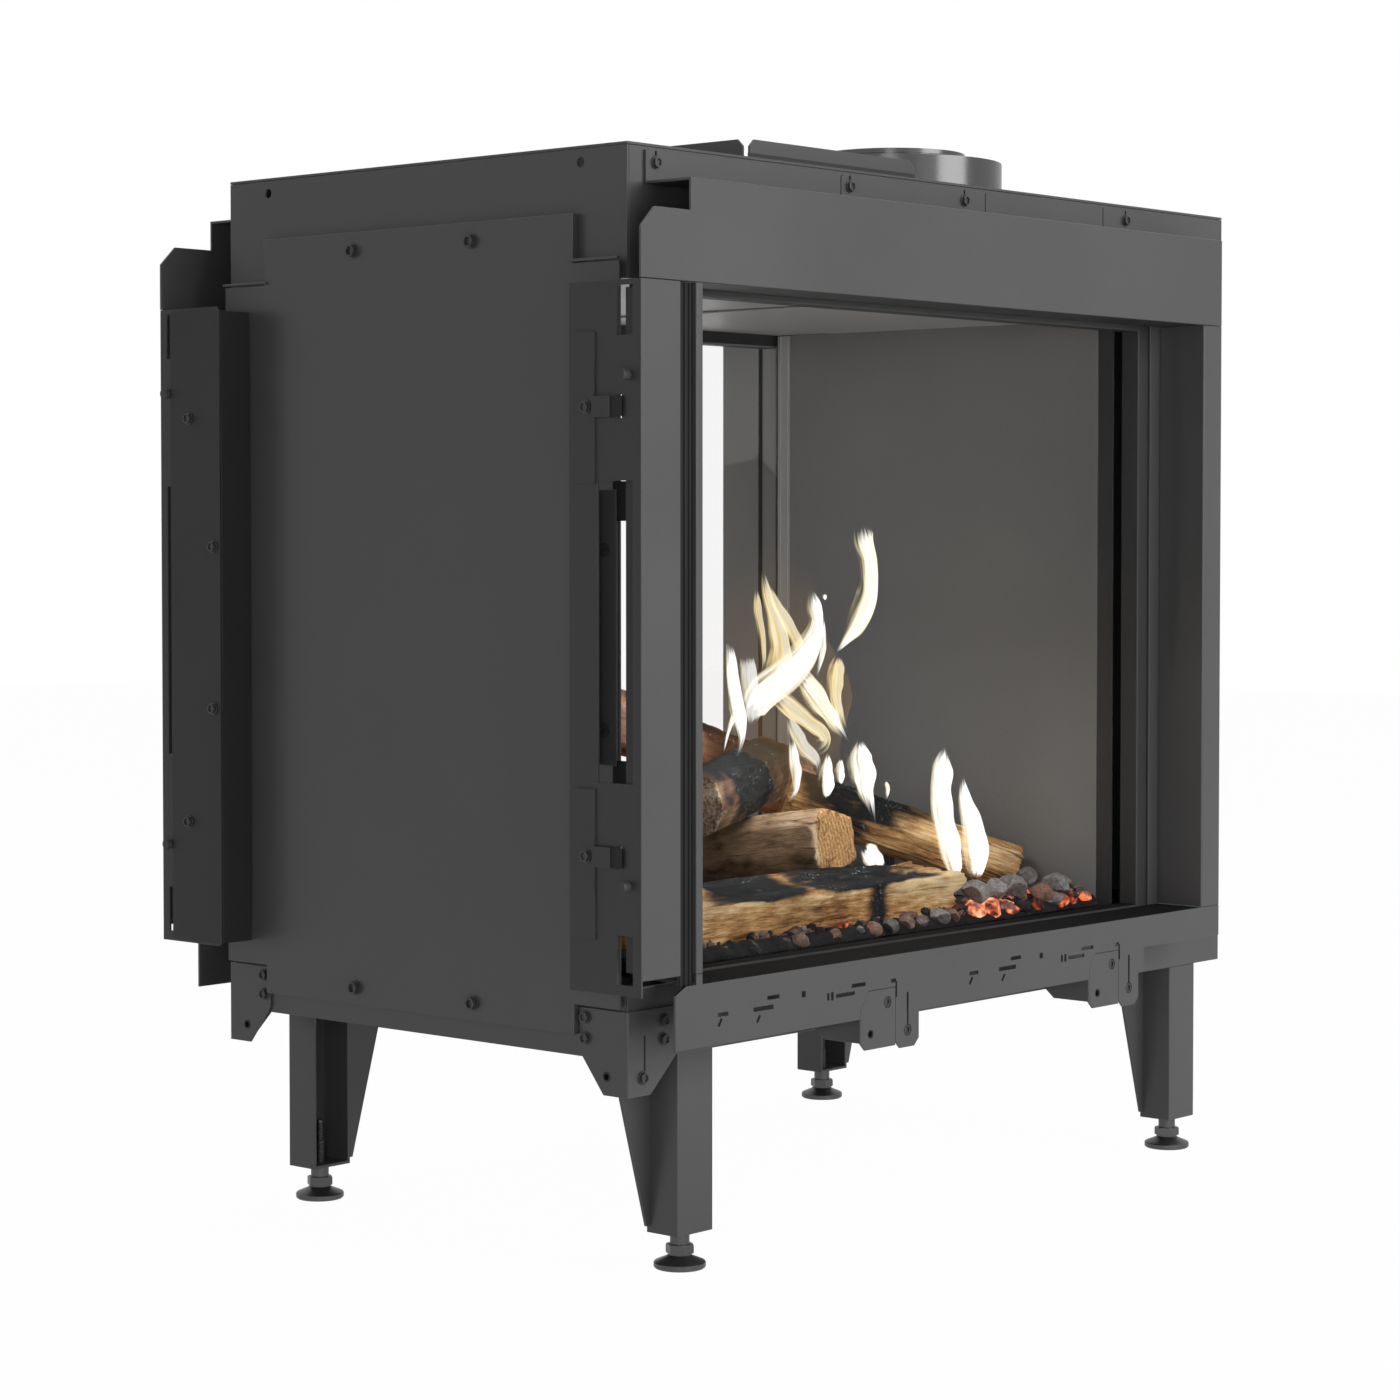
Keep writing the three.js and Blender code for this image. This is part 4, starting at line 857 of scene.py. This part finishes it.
# Each tongue: name, depth, inner colour, strength, tail, hollow, spine.
white, cream, yellow = 1.0, 0.82, 0.6
tongues = (
    ("flame_left_white", -95, white, 0.95, 0.4, 0, [
        (-122, 468, 7.5), (-119, 450, 13.3), (-115, 427, 16.4), (-111, 407, 18.3), (-107, 390, 10.7),
        (-111, 375, 2.5)]),
    ("flame_left_root", -95, white, 0.8, 0.4, 0, [(-115, 409, 7.5), (-123, 395, 4.4), (-128, 379, 1.6)]),
    ("flame_pale_veil", -60, white, 0.6, 0.4, 0, [
        (-59, 456, 16.8), (-57, 439, 20.2), (-55, 420, 22.8), (-54, 405, 19.5), (-55, 397, 6.5)]),
    ("flame_diagonal", -30, white, 0.9, 0.12, 0, [
        (64, 509, 4), (65, 497, 17.2), (70, 482, 18.1), (62, 463, 24.3), (40, 444, 31.4), (11, 428, 35),
        (-14, 417, 34.6), (-25, 405, 19.8)]),
    ("flame_diagonal_tail", -30, white, 0.8, 0.4, 0, [
        (74, 484, 10.5), (79, 464, 8.9), (76, 447, 6.9), (69, 431, 2)]),
    ("flame_thin_yellow", -40, yellow, 0.8, 0.4, 0.3, [
        (-22, 511, 4), (-21, 493, 9.9), (-15, 471, 7.3), (-13, 454, 6.6), (-15, 439, 2.6)]),
    ("flame_tall_yellow", -20, yellow, 0.85, 0.4, 0.3, [
        (10, 525, 2.7), (14, 507, 11.4), (23, 485, 15.6), (30, 465, 25.1), (29, 446, 31.2), (22, 429, 27),
        (15, 414, 13.5)]),
    ("flame_yellow_branch", -20, yellow, 0.8, 0.4, 0.3, [
        (13, 514, 5.4), (30, 493, 11.6), (47, 474, 13.6), (60, 456, 11.8), (64, 443, 3.5)]),
    ("flame_yellow_crossing", -55, yellow, 0.85, 0.4, 0.3, [
        (-20, 423, 15.1), (1, 410, 18.8), (25, 397, 15.5), (45, 386, 16.5), (48, 376, 15.2),
        (35, 368, 5.3)]),
    ("flame_yellow_lower", -55, cream, 0.75, 0.4, 0.3, [
        (-2, 405, 6.7), (11, 387, 14.8), (22, 374, 16.9), (38, 362, 11.5), (43, 351, 3.3)]),
    ("flame_right_diagonal", -15, cream, 0.9, 0.4, 0, [
        (63, 436, 13.9), (80, 420, 23.1), (98, 404, 19.7), (115, 388, 14.2), (133, 372, 2.9)]),
    ("flame_right_leaf", 0, yellow, 0.9, 0.4, 0.3, [
        (138, 448, 7.7), (134, 433, 21.3), (131, 415, 17.8), (138, 397, 12), (151, 377, 2.8)]),
    ("flame_tallest", 10, cream, 0.9, 0.15, 0, [
        (179, 565, 24.1), (182, 552, 29.9), (191, 536, 25.6), (193, 515, 24.2), (190, 497, 26.4),
        (176, 477, 24), (161, 462, 10.8), (146, 450, 2.2)]),
    ("flame_low_one", -80, white, 0.85, 0.4, 0, [
        (-24, 386, 6.6), (-21, 369, 12), (-18, 354, 13.3), (-19, 341, 7.2), (-28, 331, 2)]),
    ("flame_low_two", -70, white, 1, 0.15, 0, [
        (38, 369, 3.3), (35, 354, 16.5), (34, 342, 19.2), (35, 331, 5.6)]),
    ("flame_low_three", -60, white, 1, 0.2, 0, [(68, 362, 2.8), (65, 351, 13.2), (67, 340, 4.7)]),
    ("flame_low_four", -40, white, 1, 0.4, 0, [
        (119, 376, 7.1), (118, 360, 27.8), (123, 342, 29.9), (129, 324, 17.1), (140, 301, 3)]),
    ("flame_right_tall", -80, white, 1, 0.15, 0, [
        (190, 366, 5.1), (183, 351, 28.9), (181, 329, 31), (184, 304, 31.1), (194, 279, 34.2),
        (204, 258, 22.4), (209, 251, 7.4)]),
    ("flame_right_short", -95, white, 1, 0.2, 0, [
        (195, 341, 5.9), (197, 322, 19.4), (205, 300, 33), (211, 277, 36.2), (215, 259, 28.7),
        (215, 248, 9)]),
    ("flame_under_log", -60, white, 1, 0.4, 0, [
        (98, 284, 8.4), (106, 277, 21.4), (117, 269, 17.8), (128, 265, 4.9)]),
    ("flame_left_streak", -100, white, 0.7, 0.4, 0, [
        (-129, 456, 4), (-127, 436, 8), (-121, 412, 10), (-116, 390, 6)]),
    ("flame_behind_the_char", -50, cream, 0.9, 0.4, 0, [(142, 338, 2), (146, 331, 6), (143, 322, 3)]),
    ("flame_spark", -20, white, 1, 0.4, 0, [(95.5, 503.5, 3), (93.5, 501.5, 5.5), (92, 499, 3)]),
)
for name, depth, colour, strength, tail, hollow, spine in tongues:
    flame(name, depth, spine, colour, strength, tail, hollow)

# Windows: a 4 mm ceramic glass pane at the front and at the back, each loose in a folded frame so
# that it lifts out, with a frame against the fascia in a darker coat that is painted shade.


def glass_finish():
    finish, tree, shader = new_finish("ceramic_glass")
    facing = add_node(tree, "LayerWeight", {"Blend": 0.25}).outputs["Facing"]
    feed(tree, shader, {"Base Color": (0.02, 0.022, 0.022, 1), "Roughness": 0.03,
                        "Alpha": spread(tree, facing, 0.35, 1.0, 0.025, 0.3)})
    return finish


glass = glass_finish()
for end in ("front", "back"):
    dress(bare_copy(f"{end}_pane", f"{end}_glass"), glass, f"{end}_pane", f"{end}_pane")
    # Painted shade: the pane frame in the darker graphite, with flat black on its bottom rail's top faces.
    pane_frame = folded_sheet(f"{end}_pane_frame", painted_shade_coat)
    extra_coat(pane_frame, flat_black_and_shade, lambda f: f.normal.z > 0.7 and f.center.z < 0.24)
    # Painted light: at the back, the frame's faces towards the right wall in the lighter enamel, and its
    # upper inward faces in the wall enamel.
    if end == "back":
        extra_coat(pane_frame, painted_light_enamel, lambda f: f.normal.x < -0.7 and f.center.x > 0.25)
        extra_coat(pane_frame, enamel, lambda f: f.normal.y < -0.7 and f.center.z > 0.7)

# Casing: side panels and fascias of 2 mm sheet, folded and spot welded, with a pair of small holes
# high in the left end.
low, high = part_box("left_side_panel")
folded_sheet("left_side_panel", graphite,
             holes=[((low.x, side * 0.1738, 0.8327), "X", 0.0038) for side in (-1, 1)])
for node in ("right_side_panel", "front_fascia", "back_fascia"):
    folded_sheet(node, graphite)

# Left side cover: a shallow pressed pan with two wings over the wiring space, taken off by four
# hexagon bolts.
folded_sheet("left_side_cover", graphite)
cover_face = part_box("left_side_cover")[0].x
for i in range(1, 5):
    low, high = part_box(f"cover_bolt_{i}")
    middle = (low + high) / 2
    bolt = screw(f"cover_bolt_{i}_head", [(cover_face, middle.y, middle.z)], (-1, 0, 0), flange=0.0062,
                 across=0.0092, rise=0.0038)
    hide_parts(f"cover_bolt_{i}")

# Top plate with the vent's four upstand flaps, and the concentric flue: an outer air collar on the
# plate and an inner spigot from the firebox ceiling, rolled and welded.
folded_sheet("top_plate", graphite)
# Painted shadow: a thin black strip at the foot of the front flap.
small_plate("vent_flap_shadow", (-0.104, -0.1906, 0.8491), (0.211, 0.001, 0.008), black_and_shade_coat, 0.0003, rounds=2)
flue_metal = coated("brushed_flue", (0.13, 0.13, 0.131), (0.2, 0.26), metallic=0.9, grain=500.0)
for node in ("flue_outer_collar", "flue_inner_spigot"):
    dress(bare_copy(node, node + "_rolled"), flue_metal, node, angle=30)

# Window surround frames, one at the front and one at the back: header, stiles, sill and brackets
# of folded sheet, hung on the casing by screws in slots so that they can be set in or out.


def trim_lining(name, face, side):
    """Black fibre lining with three ridges, pressed into the groove of a left stile."""
    left, right, low, high = -0.3733, -0.3568, 0.2256, 0.7402
    middle, height = (low + high) / 2, high - low
    strips = [placed(bpy.ops.mesh.primitive_cube_add, size=1, location=((left + right) / 2, face, middle),
                     scale=(right - left, 0.001, height))]
    strips += [placed(bpy.ops.mesh.primitive_cylinder_add, vertices=10, radius=0.0014, depth=height,
                      location=(x, face + side * 0.0005, middle)) for x in (-0.3703, -0.3651, -0.3599)]
    dress(join_pieces(strips, name), gasket_and_shade_black)


# Black fibre gasket for the groove linings; the same black is painted shade in the hinge slots, the front
# channel's slits and the back cover's slot.
gasket_and_shade_black = coated("black_gasket_and_painted_shade", (0.006, 0.006, 0.006), (0.6, 0.7))
flange_screws = (-0.3517, -0.1235, 0.0267, 0.2609)
flange_seams = (-0.1346, 0.0555, 0.2265)
bracket_pitch = 0.3098
tab_x, nut_x, tab_screw_x = -0.104, -0.1511, -0.1297
nut_z, tab_screw_z = 0.1673, 0.1901
screw_hole = 0.0047
clip_heights = (0.6497, 0.323)

# Marks punched through the sill, once for each bracket: x, z, width, height, lean in degrees.
sill_marks = (
    (-0.2804, 0.2015, 0.0234, 0.0034, 0), (-0.2687, 0.2087, 0.0142, 0.0030, 0),
    (-0.3265, 0.2020, 0.0118, 0.0030, 0), (-0.3301, 0.1962, 0.0026, 0.0066, 35),
    (-0.2862, 0.1942, 0.0026, 0.0062, 35), (-0.2331, 0.2072, 0.0046, 0.0048, 0),
    (-0.2035, 0.2020, 0.0028, 0.0058, 0), (-0.1985, 0.2020, 0.0032, 0.0064, 0),
    (-0.1824, 0.2016, 0.0232, 0.0030, 0), (-0.1661, 0.2074, 0.0172, 0.0030, 0),
    (tab_x, 0.183, 0.0026, 0.0250, 0), (-0.1187, 0.1995, 0.0022, 0.0130, 0),
    (-0.1222, 0.2064, 0.0060, 0.0032, 0),
)
for end, side in (("front", -1), ("back", 1)):
    band_face, face = side * 0.2228, side * 0.267
    header = folded_sheet(f"{end}_header", graphite,
                          slots=[((x, band_face, 0.828), 0.0011, 0.022, 0) for x in flange_seams]
                          + [((x + 0.0018, band_face, 0.8405), 0.0011, 0.0062, 40) for x in flange_seams]
                          + [((x, band_face, 0.8388), 0.0024, 0.0058, 0) for x in flange_screws])
    # Painted shade: the header's underside faces in the darker graphite.
    extra_coat(header, painted_shade_coat, lambda f: f.normal.z < -0.7)
    screw(f"{end}_header_screws", [(x, band_face, 0.8312) for x in flange_screws], (0, side, 0))

    stile = folded_sheet(f"{end}_left_stile", graphite)
    # Painted shade: the stile's outward channel side in the darker graphite.
    extra_coat(stile, painted_shade_coat, lambda f: f.normal.x < -0.7 and f.center.x < -0.4)
    trim_lining(f"{end}_trim_lining", side * 0.2626, side)
    small_plate(f"{end}_channel_edge", (-0.4138, side * 0.2546, 0.4875), (0.001, 0.0094, 0.495), black_and_shade_coat)
    stile = folded_sheet(f"{end}_right_stile", graphite)
    # Painted light: on the back frame the right stile's inner side is in the lighter enamel; the front one
    # keeps the graphite.
    extra_coat(stile, graphite if end == "front" else painted_light_enamel, lambda f: f.normal.x < -0.7)

    seats = [(tab_x, 0.1655), (tab_x + bracket_pitch, 0.1672)]
    tab_screws = [(tab_screw_x, tab_screw_z), (tab_screw_x + bracket_pitch, tab_screw_z)]
    sill = folded_sheet(f"{end}_sill", graphite, holes=[((x, face, z), "Y", screw_hole) for x, z in seats],
                        slots=[((x + shift, face, z), width, height, lean) for shift in (0, bracket_pitch)
                               for x, z, width, height, lean in sill_marks])
    # Painted shade: the sill's top faces under the glass in flat black.
    extra_coat(sill, flat_black_and_shade, lambda f: f.normal.z > 0.7 and f.center.z > 0.22)
    screw(f"{end}_sill_screws", [(x, face - side * 0.0034, z) for x, z in seats + tab_screws], (0, side, 0))
    for place, shift in (("left", 0), ("right", bracket_pitch)):
        folded_sheet(f"{end}_{place}_bracket", graphite,
                     holes=[((nut_x + shift, face, nut_z), "Y", 0.0037),
                            ((tab_screw_x + shift, face, tab_screw_z), "Y", screw_hole)])
    blind_nut(f"{end}_bracket_nuts",
              [(nut_x + shift, face - side * 0.0006, nut_z) for shift in (0, bracket_pitch)], (0, side, 0))

    for z in clip_heights:
        # Painted shade: each clip in the darker graphite, and a black plate beside it standing for the shade
        # in the hook's slot.
        small_plate(f"{end}_hinge_clip", (-0.4194, side * 0.2300, z), (0.0016, 0.018, 0.0155), painted_shade_coat,
                    0.0006)
        small_plate(f"{end}_hinge_slot_shade", (-0.4186, side * 0.2440, z), (0.0012, 0.0125, 0.0148), gasket_and_shade_black)
    small_plate(f"{end}_cover_ledge", (-0.3889, side * 0.1936, 0.7598), (0.0028, 0.052, 0.0022), graphite,
                0.0007)

screw("hinge_plate_screws", [(-0.41855, -0.2145, z) for z in clip_heights], (-1, 0, 0))
screw("inner_plate_screws", [(-0.3986, -0.2148, z) for z in (0.5459, 0.414)], (-1, 0, 0))
# Painted shade: black plates inside the front channel that narrow its slits, and one behind the back cover's
# slot.
slit_x, sheet = -0.3975, 0.001
for y, z, width, height in ((-0.2421, 0.4845, 0.0044, 0.223), (-0.2330, 0.5815, 0.0225, 0.029),
                            (-0.2330, 0.3830, 0.0225, 0.018)):
    small_plate("front_slit_shade", (slit_x, y, z), (sheet, width, height), gasket_and_shade_black)
small_plate("back_slot_shade", (-0.4172, 0.2405, 0.482), (sheet, 0.012, 0.49), gasket_and_shade_black)
# Painted shade: the back channel cover and its return in the matt black coat.
small_plate("back_channel_return", (-0.4037, 0.1895, 0.4815), (0.0302, 0.002, 0.511), black_and_shade_coat)
folded_sheet("back_channel_cover", black_and_shade_coat)
channel_screws = ((0.2262, 0.6511), (0.2282, 0.3228), (0.197, 0.5472), (0.1976, 0.4162))
cover_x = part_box("back_channel_cover")[0].x
screw("channel_cover_screws", [(cover_x, y, z) for y, z in channel_screws], (-1, 0, 0))
